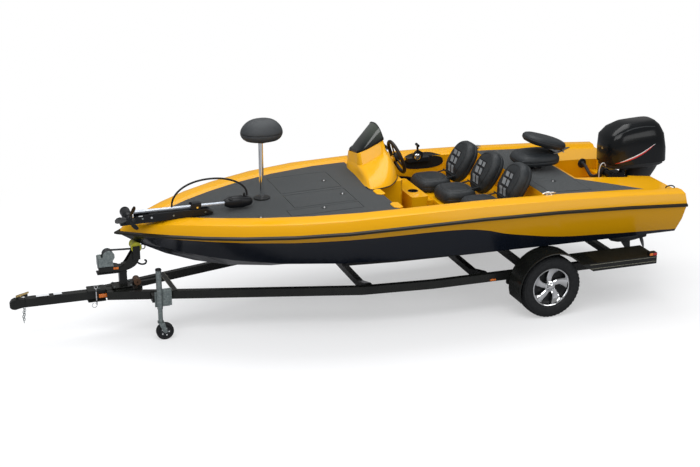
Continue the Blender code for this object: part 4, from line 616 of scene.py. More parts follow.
WHEEL_Y = 0.939
WHEEL_Z = 0.305
SPOKE_TURN = math.radians(72.0)
FIRST_SPOKE = math.radians(90.0)
FENDER_TOP = 0.545
LATCH_PROFILE = ((-0.002, 0.001), (-0.002, 0.026), (0.0015, 0.026), (0.0030, 0.023), (0.0022, 0.019),
                 (0.0010, 0.017), (0.0010, 0.001))
# Lines of a cleat's horn and of the tow ring, as (shift along X, rise), and the outline of a deck tab
HORN = ((-0.068, 0.014), (-0.036, 0.021), (0.0, 0.023), (0.036, 0.021), (0.068, 0.014))
TOW_RING = ((-0.052, -0.006), (-0.046, 0.016), (0.0, 0.024), (0.040, 0.010), (0.050, -0.020))
TAB = ((-0.020, -0.085), (0.030, -0.070), (0.030, 0.070), (-0.020, 0.085), (-0.055, 0.050), (-0.055, -0.050))
# Half of the tread's section, as (distance from the tyre's middle, radius), and how it is cut into blocks
TREAD_HALF = ((0.069, 0.1905), (0.090, 0.205), (0.0945, 0.232), (0.0950, 0.250), (0.0925, 0.268),
              (0.0890, 0.271), (0.0880, 0.284), (0.0800, 0.294), (0.0720, 0.3005), (0.046, 0.3025),
              (0.043, 0.2955), (0.037, 0.2955), (0.034, 0.3040), (0.006, 0.3048), (0.003, 0.2970))
TREAD_STEPS = 144
BLOCK_CUT = 0.005
WALL_RING = 0.0012
RIM = ((-0.075, 0.1895), (0.075, 0.1895), (0.0765, 0.184), (0.074, 0.178), (0.066, 0.1745), (0.050, 0.172),
       (0.010, 0.166), (-0.040, 0.160), (-0.075, 0.160))
# Sections of a spoke: radius, its middle and half width in degrees, how far out its face is, its thickness
SPOKE_ROWS = ((0.030, -6.0, 34.0, 0.040, 0.030), (0.060, -8.0, 24.0, 0.044, 0.030),
              (0.095, -3.0, 17.5, 0.044, 0.026), (0.130, 4.0, 15.0, 0.046, 0.024),
              (0.160, 10.0, 16.0, 0.052, 0.024), (0.176, 12.0, 18.0, 0.058, 0.020))
SPOKE_CROWN = ((-1.0, 0.008), (-0.72, 0.0), (0.0, -0.002), (0.72, 0.0), (1.0, 0.008))
HUB = ((0.004, 0.001), (0.030, 0.058), (0.046, 0.052), (0.052, 0.036), (0.072, 0.030), (0.078, 0.020),
       (0.080, 0.001))


def latches():
    """Round black latches with a lift ring, on the hatches and the decks."""
    spots = (("lid_front_starboard", -1.837, 0.281), ("lid_front_port", -1.800, -0.180),
             ("carpet_front", -2.684, -0.526), ("lid_rear_port", 0.289, -0.387),
             ("lid_rod_port", -2.080, -0.500), ("carpet_rear", 0.70, 0.62))
    for number, (node, x, y) in enumerate(spots):
        base = at(x, y, top_of(DECKS, x, y))
        ring = [base + Vector((0.012 * math.cos(a), 0.012 * math.sin(a), 0.0018)) for a in turns(20)]
        piece(f"latch_{number}", lathe(LATCH_PROFILE, base, UP, 28), PLASTIC, body_of(node))
        piece(f"latch_ring_{number}", tube(ring, 0.0016, 6, loop=True), CHROME, body_of(node))


def cleats():
    """Chrome horn cleats on both gunwales and the dark tow ring by the transom."""
    x = 0.006
    for number, y in enumerate((-0.860, 0.860)):
        z = top_of(("deck",), x, y)
        horn = curve_at([(x + shift, y, z + rise) for shift, rise in HORN], 5)
        feet = [rod(at(x + shift, y, z - 0.004), at(x + shift, y, z + 0.020), 0.011, 14, 0.008)
                for shift in (-0.022, 0.022)]
        pad = slab([(x + a, y + b) for a, b in oval(0.048, 0.018, 2.4, 28)], (z - 0.004, z + 0.004))
        shape = merged([tube(horn, lambda t: 0.005 + 0.006 * math.sin(math.pi * t), 12), pad, *feet])
        piece(f"cleat_{number}", shape, CHROME, HULL_BODY)
    x, y = 1.318, -0.840
    z = top_of(("deck",), x - 0.03, y)
    ring = curve_at([(x + shift, y, z + rise) for shift, rise in TOW_RING], 6)
    piece("tow_ring", tube(ring, 0.006, 12), BLACK_CAST_AND_SHADE, HULL_BODY)


def front_tabs():
    """The raised yellow corners at the aft edge of the front deck."""
    for number, (x, y) in enumerate(((-1.455, -0.262), (-1.440, -0.690))):
        z = top_of(DECKS, x - 0.05, y)
        outline = [(x + a, y + b) for a, b in TAB]
        piece(f"deck_tab_{number}", slab(outline, (z - 0.004, z + 0.010)), YELLOW_GEL, HULL_BODY,
              bevel=0.006, segments=3)


def tread_tyre(label, side):
    """A trailer tyre with shoulder blocks, grooves and sidewall rings, in place of the plain CAD one."""
    centre = at(0.0, side * WHEEL_Y, WHEEL_Z)
    profile = [(-along, radius) for along, radius in TREAD_HALF] + list(TREAD_HALF[::-1])
    axis, across, up = round_frame(Y_AXIS)
    loops = []
    for step, angle in enumerate(turns(TREAD_STEPS)):
        out = across * math.cos(angle) + up * math.sin(angle)
        loop = []
        for along, radius in profile:
            in_block = step % 3 == 0 and 0.050 < abs(along) < 0.085 and radius > 0.282
            in_ring = step % 2 == 0 and 0.249 < radius < 0.268
            cut = BLOCK_CUT if in_block else 0.0
            ring = WALL_RING if in_ring else 0.0
            loop.append(centre + axis * (along + math.copysign(ring, along)) + out * (radius - cut))
        loops.append(loop)
    made = piece(f"tyre_tread_{label}", loft(loops, closed=False), RUBBER, body_of(f"tyre_{label}"),
                 smooth=28.0)
    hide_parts(f"tyre_{label}")


def directional_wheel(label, side):
    """Chrome wheel: rolled rim, dished centre and five raked spokes, with a disc of painted shade in the
    windows between.
    """
    centre = at(0.0, side * WHEEL_Y, WHEEL_Z)
    body = body_of(f"wheel_{label}")

    def ring_point(radius, angle, depth):
        return centre + Vector((radius * math.cos(angle), side * depth, radius * math.sin(angle)))

    rim = RIM if side > 0 else RIM[::-1]
    shapes = [lathe([(side * along, radius) for along, radius in rim], centre, Y_AXIS, 72)]
    for spoke in range(5):
        base = FIRST_SPOKE + SPOKE_TURN * spoke
        loops = []
        for radius, mid, half, depth, thick in SPOKE_ROWS:
            section = [(part, depth - drop) for part, drop in SPOKE_CROWN]
            section += [(1.0, depth - thick), (-1.0, depth - thick)]
            loops.append([ring_point(radius, base + side * math.radians(mid + half * part), deep)
                          for part, deep in section])
        shapes.append(loft(loops))
    shapes.append(lathe([(side * along, radius) for along, radius in HUB], centre, Y_AXIS, 40))
    made = piece(f"wheel_bright_{label}", merged(shapes), CHROME, body, smooth=32.0)
    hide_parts(f"wheel_{label}")
    # A near-black disc behind the spokes: painted shade in the windows between them
    shade = [(side * -0.004, 0.001), (side * -0.004, 0.166), (side * 0.002, 0.166), (side * 0.002, 0.001)]
    piece(f"wheel_shade_{label}", lathe(shade, centre, Y_AXIS, 48), BLACK_CAST_AND_SHADE, body)
    nuts = []
    for nut in range(5):
        spot = ring_point(0.040, FIRST_SPOKE + SPOKE_TURN * (nut + 0.5), 0.0)
        start, end = (spot + Vector((0, side * out, 0)) for out in (0.040, 0.058))
        nuts.append(rod(start, end, 0.0075, 6))
    piece(f"wheel_nuts_{label}", merged(nuts), CHROME, body)


def fender_trim(label, side):
    """Rolled lip, ribbed step pad, painted highlights along the fender's edges, tail lamp and bracket of one
    fender.
    """
    y_out = side * (WHEEL_Y + 0.095 + 0.030)
    lip = [at(x, y_out, z) for x, z in arc((0.0, WHEEL_Z), 0.3505, 196.0, 44.0, 40)]
    piece(f"fender_lip_{label}", tube(lip, 0.0065, 8), FRAME_PAINT, HULL_BODY)
    pad = [box((0.405, 1.036), side_range(side, 0.835, 1.126), (0.5440, 0.5458))]
    for row in range(9):
        inner = 0.850 + 0.031 * row
        pad.append(box((0.420, 1.020), side_range(side, inner, inner + 0.010), (0.5448, 0.5475)))
    piece(f"step_pad_{label}", merged(pad), BUMPER, HULL_BODY, bevel=0.0008)
    # Two light lines along the fender's outer side: painted highlights on its edges
    for number, drop in enumerate((0.010, 0.052)):
        line = box((0.330, 1.040), side_range(side, 1.1335, 1.1350),
                   (FENDER_TOP - drop - 0.0035, FENDER_TOP - drop))
        piece(f"step_highlight_{label}_{number}", line, EDGE_HIGHLIGHT, HULL_BODY)
    lamps = (("lamp_house", (0.965, 1.043), (1.080, 1.1335), (FENDER_TOP, 0.580), BLACK_CAST_AND_SHADE, 0.004),
             ("lamp_red", (1.004, 1.0455), (1.084, 1.1345), (0.549, 0.576), LAMP_RED, 0.003),
             ("lamp_amber", (0.966, 1.002), (1.084, 1.1345), (0.549, 0.576), LAMP_AMBER, 0.003))
    for name, x_range, reach, z_range, look, bevel in lamps:
        piece(f"{name}_{label}", box(x_range, side_range(side, *reach), z_range), look, HULL_BODY,
              bevel=bevel)
    y = side * 0.990
    strap = strip([at(0.980, y, 0.470), at(0.990, y, 0.430), at(1.030, y, 0.425)], 0.030, 0.005, Y_AXIS)
    piece(f"tie_bracket_{label}", strap, ZINC, HULL_BODY)
    marker = box((-0.535, -0.475), side_range(side, 0.7905, 0.8005), (0.354, 0.374))
    piece(f"side_marker_{label}", marker, LAMP_AMBER, HULL_BODY, bevel=0.003)


# Light tan lines that are painted highlights along lit edges of the fenders and the front strut
EDGE_HIGHLIGHT = surface("painted_edge_highlight", (0.30, 0.29, 0.22), 0.45, second=(0.22, 0.21, 0.16),
                    mottle=(80.0, 0.4, 0.6))

latches()
cleats()
front_tabs()
for label, side in SIDES:
    tread_tyre(label, side)
    directional_wheel(label, side)
    fender_trim(label, side)


# Soft seats

def pillow(centre, half_x, half_y, rows):
    """A crowned pad that lies flat; each row is (share of the outline, height)."""
    return loft([[centre + Vector((a * half_x * share, b * half_y * share,
                                   offset + waterfall(a * share, share, offset)))
                  for a, b in oval(1.0, 1.0, 3.2, 72)] for share, offset in rows])


CUSHION_ROWS = ((0.02, 0.0), (0.50, 0.0), (0.84, 0.001), (0.93, 0.007), (0.975, 0.022), (0.992, 0.040),
                (0.984, 0.0475), (0.972, 0.0495), (0.984, 0.0515), (0.994, 0.060), (0.980, 0.078),
                (0.940, 0.096), (0.880, 0.108), (0.800, 0.115), (0.735, 0.1175), (0.715, 0.1140),
                (0.700, 0.1125), (0.685, 0.1145), (0.660, 0.1185), (0.560, 0.1215), (0.400, 0.1225),
                (0.200, 0.1215), (0.02, 0.1210))


def waterfall(a, share, offset):
    """Pulls the front edge of a cushion down, and dishes the middle."""
    front = max(0.0, -a - 0.55) / 0.45
    pull = -0.030 * front ** 2 if offset > 0.055 else 0.0
    dish = 0.008 * max(0.0, 0.55 - share) if offset > 0.1 else 0.0
    return pull - dish


def seat_cushion(node, body):
    low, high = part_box(node)
    rear = node == "rear_seat"
    depth, tall, thick = (0.460, 0.110, 0.900) if rear else (0.370, 0.120, 1.040)
    breadth = high[1] - low[1]
    centre = Vector((low[0] + depth / 2, (low[1] + high[1]) / 2, low[2] + 0.0005))
    rows = [(share, offset * thick) for share, offset in CUSHION_ROWS]
    made = piece(f"{node}_soft", pillow(centre, depth / 2, breadth / 2, rows), VINYL, body, smooth=60.0)
    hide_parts(node)
    top = low[2] + tall
    hinge_x = low[0] + depth + 0.0144
    ends = []
    for side in (PORT, STARBOARD):
        y = centre.y + side * breadth * 0.28
        strap = [Vector((hinge_x + shift, y, top + rise))
                 for shift, rise in ((-0.095, -0.006), (-0.050, 0.004), (0.0, 0.012))]
        ends.append(strip(strap, 0.026, 0.005, Y_AXIS))
    ends.append(rod(Vector((hinge_x, centre.y - breadth * 0.36, top + 0.012)),
                    Vector((hinge_x, centre.y + breadth * 0.36, top + 0.012)), 0.0075, 14))
    piece(f"{node}_hinge", merged(ends), ALLOY_GREY if rear else BLACK_CAST_AND_SHADE, body)


# Rows of light bars up a back rest: height of the lower edge from its middle, and height of the bar
BAR_ROWS = ((0.034, 0.046), (-0.048, 0.060), (-0.142, 0.070))
BACK_OVAL = 2.4
SHELL_ROWS = ((0.02, 0.0), (0.55, 0.001), (0.80, 0.006), (0.92, 0.016), (0.985, 0.034))
SEAM_ROWS = ((0.992, -0.004), (0.978, -0.001), (0.992, 0.002))
FACE_SHARES = (0.970, 0.930, 0.880, 0.820, 0.750, 0.680, 0.600, 0.520, 0.440, 0.360, 0.280, 0.200, 0.120,
               0.03)
PATCH_DEPTH = 0.006


def back_face(a, b, half_up, drop, front, swell):
    """How far the front of a back rest stands out at shares (a, b); it stays flat by its hinge."""
    share = (abs(a) ** BACK_OVAL + abs(b) ** BACK_OVAL) ** (1 / BACK_OVAL)
    above = (b * half_up + half_up - drop - 0.016) / 0.070
    lift = max(0.0, min(1.0, above))
    lift = lift * lift * (3 - 2 * lift)
    dish = 0.35 * swell * max(0.0, 1.0 - (abs(a) / 0.50) ** 2) * max(0.0, 1.0 - abs(b) ** 3)
    return front + swell * lift * max(0.0, 1.0 - share ** 5.0) - dish * lift


def seat_back_soft(node, hinge, lean, half_across, half_up, thick, drop, swell, bars):
    """A padded back rest with piping; bars adds its dark inset with the light bars."""
    body = body_of(node)
    lean = math.radians(lean)
    across = Y_AXIS
    rise = Vector((math.sin(lean), 0, math.cos(lean)))
    forward = Vector((-math.cos(lean), 0, math.sin(lean)))
    centre = hinge + rise * (half_up - drop) - forward * (0.0083 + thick / 2)
    front = thick / 2 - 0.002
    half_across, half_up = half_across - 0.001, half_up - 0.001

    def place(y, z, out):
        return centre + across * y + rise * z + forward * out

    def on_face(y, z, lift):
        return place(y, z, back_face(y / half_across, z / half_up, half_up, drop, front, swell) + lift)

    def patch(name, y_range, z_range, look, lift, steps, lean_in):
        loops = []
        for row in range(steps[1] + 1):
            z = z_range[0] + (z_range[1] - z_range[0]) * row / steps[1]
            first = y_range[0] + lean_in * (z - z_range[0])
            line = [first + (y_range[1] - y_range[0]) * step / steps[0] for step in range(steps[0] + 1)]
            loops.append([on_face(y, z, lift) for y in line]
                         + [on_face(y, z, lift - PATCH_DEPTH) for y in line[::-1]])
        piece(name, loft(loops), look, body, smooth=60.0)

    ring = oval(1.0, 1.0, BACK_OVAL, 72)
    rows = [(share, offset - thick / 2) for share, offset in SHELL_ROWS]
    rows += [*SEAM_ROWS, (0.990, thick / 2 - 0.026)]
    loops = [[place(a * half_across * share, b * half_up * share, offset) for a, b in ring]
             for share, offset in rows]
    for share in FACE_SHARES:
        round_off = 0.018 * max(0.0, (share - 0.86) / 0.11) ** 2
        loops.append([on_face(a * half_across * share, b * half_up * share, -round_off) for a, b in ring])
    made = piece(f"{node}_soft", loft(loops), VINYL, body, smooth=60.0)
    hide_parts(node)
    if bars:
        patch(f"{node}_inset", (-0.074, 0.074), (-0.160, 0.092), VINYL_BLACK, 0.0012, (10, 16), 0.10)
        for row, (z, tall) in enumerate(BAR_ROWS):
            for column, y in enumerate((-0.038, 0.038)):
                y += 0.10 * (z + 0.160)
                patch(f"{node}_bar_{row}_{column}", (y - 0.026, y + 0.026), (z, z + tall), VINYL_LIGHT,
                      0.0030, (5, 6), 0.34)
    seam = [on_face(a * half_across, b * half_up, 0.0006) for a, b in oval(0.78, 0.78, BACK_OVAL, 72)]
    piece(f"{node}_piping", tube(seam, 0.0022, 6, loop=True), VINYL_BLACK, body)


# Rows of the butt seat's cushion: share of its height, share of its outline
BUTT_ROWS = ((0.0, 0.04), (0.0, 0.54), (0.015, 0.66), (0.055, 0.80), (0.110, 0.885), (0.180, 0.945),
             (0.270, 0.985), (0.345, 0.998), (0.365, 0.992), (0.378, 0.980), (0.392, 0.992), (0.430, 0.994),
             (0.520, 0.965), (0.620, 0.910), (0.720, 0.830), (0.800, 0.745), (0.870, 0.640), (0.925, 0.520),
             (0.965, 0.380), (0.990, 0.200), (0.996, 0.03))
BUTT_TALL = 0.204
BUTT_HALF = (0.195, 0.1675)
BUTT_SEAM = 0.378


def butt_cushion():
    """The butt seat's pad with its piping and mounting plate."""
    low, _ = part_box("butt_seat")
    body = body_of("butt_seat")
    x = low[0] + BUTT_HALF[0]
    loops = []
    for share, size in BUTT_ROWS:
        outline = oval(BUTT_HALF[0] * size, BUTT_HALF[1] * size, 2.3, 72)
        loops.append([Vector((x + a + 0.015 * share, b, low[2] + 0.0005 + BUTT_TALL * share))
                      for a, b in outline])
    made = piece("butt_seat_soft", loft(loops), PEBBLE, body, smooth=60.0)
    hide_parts("butt_seat")
    band = [Vector((x + a + 0.006, b, low[2] + BUTT_TALL * BUTT_SEAM))
            for a, b in oval(0.1925, 0.1650, 2.3, 72)]
    piece("butt_seat_piping", tube(band, 0.0026, 6, loop=True), VINYL_BLACK, body)
    under = lathe([(-0.014, 0.001), (-0.014, 0.060), (-0.002, 0.085), (0.0, 0.085), (0.0, 0.001)],
                  Vector((x, 0.0, low[2])), UP, 36)
    piece("butt_seat_plate", under, BLACK_CAST_AND_SHADE, body)


def all_seats():
    places = {"starboard": (-0.470, 0.45006), "middle": (-0.385, 0.02028), "port": (-0.300, -0.42978)}
    for label, (x, y) in places.items():
        seat_cushion(f"seat_{label}", body_of(f"seat_{label}"))
        hinge = at(x + 0.0144, y, 1.0623)
        seat_back_soft(f"seat_back_{label}", hinge, 30.0, 0.195, 0.220, 0.120, 0.058, 0.030, True)
    seat_cushion("rear_seat", body_of("rear_seat"))
    seat_back_soft("rear_seat_back", at(0.5664, 0.100, 1.3263), -74.0, 0.190, 0.225, 0.085, 0.058, 0.012,
                   False)
    butt_cushion()


all_seats()

# Cords

TROLL_Y = -0.200
# Route of the trolling motor's cable, from the foot of its arm over to its head, from the axle
TROLL_CABLE = ((-3.424, 1.214), (-3.420, 1.252), (-3.402, 1.296), (-3.370, 1.338), (-3.326, 1.374),
               (-3.268, 1.404), (-3.198, 1.426), (-3.120, 1.438), (-3.038, 1.440), (-2.956, 1.432),
               (-2.880, 1.412), (-2.812, 1.382), (-2.760, 1.342), (-2.732, 1.296), (-2.728, 1.250))
# Routes of the outboard's rigging hose and grey lead, from the axle, and the hose's boot on the well's wall
BOOT_AT = (0.994, 0.341, 1.062)
HOSE_ROUTE = ((0.990, 0.318, 1.062), (0.986, 0.285, 1.066), (0.978, 0.235, 1.062), (0.966, 0.175, 1.046),
              (0.956, 0.115, 1.026), (0.952, 0.060, 1.014), (0.958, 0.012, 1.018), (0.974, -0.026, 1.038),
              (0.994, -0.046, 1.068), (1.012, -0.054, 1.100), (1.022, -0.054, 1.128))
LEAD_ROUTE = ((1.030, -0.082, 1.146), (1.016, -0.090, 1.172), (0.994, -0.098, 1.184),
              (0.972, -0.104, 1.178), (0.956, -0.107, 1.156), (0.949, -0.107, 1.122),
              (0.949, -0.104, 1.082), (0.953, -0.098, 1.040), (0.960, -0.090, 0.998),
              (0.968, -0.080, 0.956), (0.976, -0.070, 0.918), (0.980, -0.064, 0.882))


def free_cord(name, points, diameter, look, body):
    """A cord on a smooth curve through the points; both of its ends go into the object."""
    path = curve_points(points, 5)
    made = piece(name, tube(path, diameter / 2, 10), look, body, smooth=60.0)
    return made


def cords():
    free_cord("trolling_cable", [at(x, TROLL_Y, z) for x, z in TROLL_CABLE], 0.018, HOSE,
              body_of("trolling_motor"))
    free_cord("rigging_hose", [at(*point) for point in HOSE_ROUTE], 0.034, HOSE, HULL_BODY)
    free_cord("grey_lead", [at(*point) for point in LEAD_ROUTE], 0.011, CABLE_GREY, HULL_BODY)
    boot = [(-0.004, 0.001), (-0.004, 0.050), (0.004, 0.050), (0.010, 0.044), (0.013, 0.027),
            (0.034, 0.022), (0.034, 0.001)]
    piece("rigging_boot", lathe(boot, at(*BOOT_AT), (0.10, -1.0, 0.0), 36), HOSE, HULL_BODY)


cords()


HEAD_X = -2.700
COLLAR_X = -2.886
PIVOT_X = -3.620
# Height of the stowed shaft's middle over the foot of the motor's box
SHAFT_RISE = 0.053


def shaft_height():
    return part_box("trolling_motor")[0][2] + SHAFT_RISE


def depth_collar(shaft_z):
    """The collar on the shaft with its fluted knob."""
    centre = at(COLLAR_X, TROLL_Y, shaft_z)
    section = [(-0.026, 0.026), (-0.020, 0.030), (0.020, 0.030), (0.026, 0.026), (0.026, 0.010),
               (-0.026, 0.010)]
    collar = lathe(section, centre, X_AXIS, 24)
    axis, side, other = round_frame((0.0, -0.55, 0.83))
    loops = []
    for along, share in ((0.024, 0.45), (0.034, 0.50), (0.036, 1.0), (0.056, 1.0), (0.062, 0.80)):
        loops.append([centre + axis * along + (side * math.cos(angle) + other * math.sin(angle))
                      * (0.0225 if step % 4 < 2 else 0.020) * share
                      for step, angle in enumerate(turns(24))])
    return merged([collar, loft(loops)])


def trolling_details():
    """Bright sleeve, depth collar with its knob, pivot bolts and the ribs of the bow mount."""
    shaft_z = shaft_height()
    motor, arm, mount = body_of("trolling_motor"), body_of("trolling_arm"), body_of("trolling_base")
    for number, (start, end) in enumerate(((-3.775, -3.244), (-3.156, -2.860))):
        sleeve = rod(at(start, TROLL_Y, shaft_z), at(end, TROLL_Y, shaft_z), 0.0162, 24)
        piece(f"shaft_sleeve_{number}", sleeve, SHAFT, motor)
    piece("depth_collar", depth_collar(shaft_z), PLASTIC, motor, bevel=0.001)
    ring = lathe([(-0.004, 0.046), (-0.004, 0.0582), (0.004, 0.0582), (0.004, 0.046)],
                 at(HEAD_X - 0.080, TROLL_Y, shaft_z + 0.003), X_AXIS, 36)
    gland = lathe([(0.0, 0.006), (0.0, 0.012), (0.030, 0.009), (0.030, 0.006)],
                  at(HEAD_X - 0.052, TROLL_Y, shaft_z + 0.050), (-0.05, 0.0, 1.0), 18)
    piece("head_ring", merged([ring, gland]), BLACK_CAST_AND_SHADE, motor)
    bands = [lathe([(y, 0.040), (y, 0.0462), (y + 0.006, 0.0462), (y + 0.006, 0.040)],
                   at(-3.840, TROLL_Y, shaft_z), Y_AXIS, 36) for y in (-0.104, 0.044)]
    piece("pod_bands", merged(bands), BLACK_CAST_AND_SHADE, motor)
    for number, side in enumerate((PORT, STARBOARD)):
        bolts = []
        for x, z, reach in ((PIVOT_X, shaft_z - 0.047, 0.0605), (-3.200, shaft_z, 0.0465)):
            spot = at(x, TROLL_Y + side * reach, z)
            bolts.append(rod(spot - Vector((0, side * 0.003, 0)), spot + Vector((0, side * 0.004, 0)),
                             0.010, 6))
        piece(f"arm_bolts_{number}", merged(bolts), CHROME, arm)
    ribs = []
    for x in (-3.860 + 0.064 * step for step in range(11)):
        if top_of(("trolling_base",), x, TROLL_Y) < 1.0 or abs(x - PIVOT_X) < 0.050:
            continue
        for side in (PORT, STARBOARD):
            y = TROLL_Y + side * 0.052
            z = top_of(("trolling_base",), x, y)
            ribs.append(box((x - 0.010, x + 0.010), (y - 0.004, y + 0.004), (z - 0.003, z + 0.006)))
    piece("mount_ribs", merged(ribs), BLACK_CAST_AND_SHADE, mount)
    rest_x = -3.790
    z = top_of(("trolling_base",), rest_x, TROLL_Y - 0.045)
    saddle = [(-0.050, -0.002), (-0.040, 0.010), (-0.020, 0.004), (0.020, 0.004), (0.040, 0.010),
              (0.050, -0.002)]
    loops = [[at(x, TROLL_Y + across, z + rise) for across, rise in saddle]
             for x in (rest_x - 0.030, rest_x + 0.050)]
    piece("motor_rest", loft(loops), HOSE, mount)


trolling_details()


# Outboard

def side_point(node, x, z, side, lift):
    """The point on a node's outer side at (x, z) from the axle, moved out by lift."""
    hit, point, normal, _ = nodes[node].ray_cast(at(x, side * 1.4, z), Vector((0.0, -side, 0.0)))
    return point + normal * lift if hit else at(x, side * 0.19, z)


def side_ribbon(name, node, side, line, look, lift, body, deep=0.004):
    """A ribbon that follows a node's side; line holds (x, z, half height) from the axle."""
    corners = ((1, lift), (-1, lift), (-1, lift - deep), (1, lift - deep))
    loops = [[side_point(node, x, z + half * sign, side, out) for sign, out in corners]
             for x, z, half in curve_points(line, 8)]
    return piece(name, loft(loops), look, body, smooth=50.0)


# Stripe of the cowl, its white edge and the painted highlight along the crease over it: (x, z, half height)
# from the axle
SWOOSH = ((1.090, 1.186, 0.0015), (1.165, 1.205, 0.0065), (1.283, 1.238, 0.0120), (1.401, 1.290, 0.0095),
          (1.500, 1.352, 0.0015))
SWOOSH_EDGE = ((1.130, 1.199, 0.0012), (1.200, 1.221, 0.0040), (1.300, 1.254, 0.0060),
               (1.405, 1.303, 0.0045), (1.512, 1.364, 0.0010))
CREASE_HIGHLIGHT = ((1.066, 1.430, 0.0030), (1.120, 1.478, 0.0035), (1.200, 1.512, 0.0040), (1.300, 1.532, 0.0040),
          (1.420, 1.540, 0.0035), (1.520, 1.535, 0.0030))


def outboard_details():
    """The cowl's stripe, a painted highlight along its crease, latches and seal."""
    body = body_of("outboard_cowl")
    # The crease ribbon is lighter than the cowl paint: a painted highlight along the real crease
    ribbons = (("stripe", SWOOSH, SWOOSH_RED, 0.0010), ("stripe_edge", SWOOSH_EDGE, SWOOSH_WHITE, 0.0016),
               ("crease", CREASE_HIGHLIGHT, GREY_PLASTIC_AND_HIGHLIGHT, 0.0012))
    for label, side in SIDES:
        for name, line, look, lift in ribbons:
            side_ribbon(f"cowl_{name}_{label}", "outboard_cowl", side, line, look, lift, body)
    low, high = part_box("outboard_cowl")
    front = lathe([(-0.004, 0.0005), (-0.004, 0.014), (0.003, 0.012), (0.004, 0.0005)],
                  Vector((low[0] + 0.005, 0.0, 1.312)), (-1.0, 0.0, 0.0), 24)
    piece("cowl_front_latch", front, CHROME, body)
    stern = high[0] - AXLE_X
    tab = box((stern - 0.016, stern + 0.026), (-0.034, 0.034), (low[2] + 0.012, low[2] + 0.024))
    piece("cowl_rear_latch", tab, PLASTIC, body, bevel=0.003)
    middle, half = (low[0] + high[0]) / 2, (high[0] - low[0]) / 2
    rim = [Vector((middle + a * half * 0.930, b * 0.168, low[2] + 0.0005))
           for a, b in oval(1.0, 1.0, 4.2, 64)]
    piece("cowl_seal", tube(rim, 0.0045, 8, loop=True), HOSE, body)


outboard_details()


# Console


def closed_curve(points, per_span=5):
    """A smooth closed ring through the points."""
    points = [Vector(point) for point in points]
    count = len(points)
    return [catmull(*(points[(index + shift) % count] for shift in (-1, 0, 1, 2)), step / per_span)
            for index in range(count) for step in range(per_span)]


# Rings of the console's moulding from the axle: its foot, lower crease, upper crease and rim
CONSOLE_RINGS = (
    ((-1.467, 0.700, 1.170), (-1.498, 0.320, 1.170), (-1.526, -0.125, 1.170), (-1.435, -0.165, 1.170),
     (-1.300, -0.110, 1.170), (-1.195, 0.020, 1.170), (-1.112, 0.200, 1.170), (-1.086, 0.420, 1.170),
     (-1.082, 0.700, 1.170), (-1.270, 0.730, 1.170)),
    ((-1.463, 0.699, 1.200), (-1.490, 0.320, 1.198), (-1.512, -0.100, 1.192), (-1.430, -0.140, 1.198),
     (-1.302, -0.086, 1.210), (-1.202, 0.040, 1.226), (-1.118, 0.210, 1.240), (-1.094, 0.420, 1.242),
     (-1.088, 0.698, 1.240), (-1.272, 0.728, 1.220)),
    ((-1.457, 0.698, 1.262), (-1.462, 0.460, 1.268), (-1.456, 0.318, 1.272), (-1.385, 0.292, 1.302),
     (-1.290, 0.292, 1.350), (-1.200, 0.312, 1.394), (-1.168, 0.390, 1.402), (-1.160, 0.500, 1.402),
     (-1.150, 0.698, 1.392), (-1.300, 0.722, 1.330)),
    ((-1.450, 0.694, 1.322), (-1.457, 0.500, 1.348), (-1.456, 0.372, 1.372), (-1.385, 0.350, 1.406),
     (-1.290, 0.350, 1.448), (-1.203, 0.366, 1.486), (-1.188, 0.430, 1.488), (-1.183, 0.530, 1.482),
     (-1.175, 0.694, 1.456), (-1.305, 0.712, 1.390)),
)
SHOULDER_BULGE = 0.022
HELM_AT = Vector((-1.025, 0.450, 1.285))
HELM_AXIS = Vector((math.cos(math.radians(21.0)), 0.0, math.sin(math.radians(21.0))))


def screen_tint_painted_reflection():
    """Smoked plastic, darkest by its foot and greyer towards the top: a painted reflection of the sky on its
    upper part.
    """
    made = surface("screen_tint_painted_reflection", (0.006, 0.008, 0.008), 0.10, coat=0.3, rough_spread=0.02)
    split = add_node(made, "ShaderNodeSeparateXYZ")
    join(made, object_coords(made), split.inputs["Vector"])
    # Painted reflection of the sky: the tint lightens with height
    rise = ramp(made, split.outputs["Z"], 1.44, 1.62)
    join(made, blend_colour(made, rise, (0.006, 0.008, 0.008), (0.060, 0.070, 0.058)),
         shader_of(made).inputs["Base Color"])
    return made


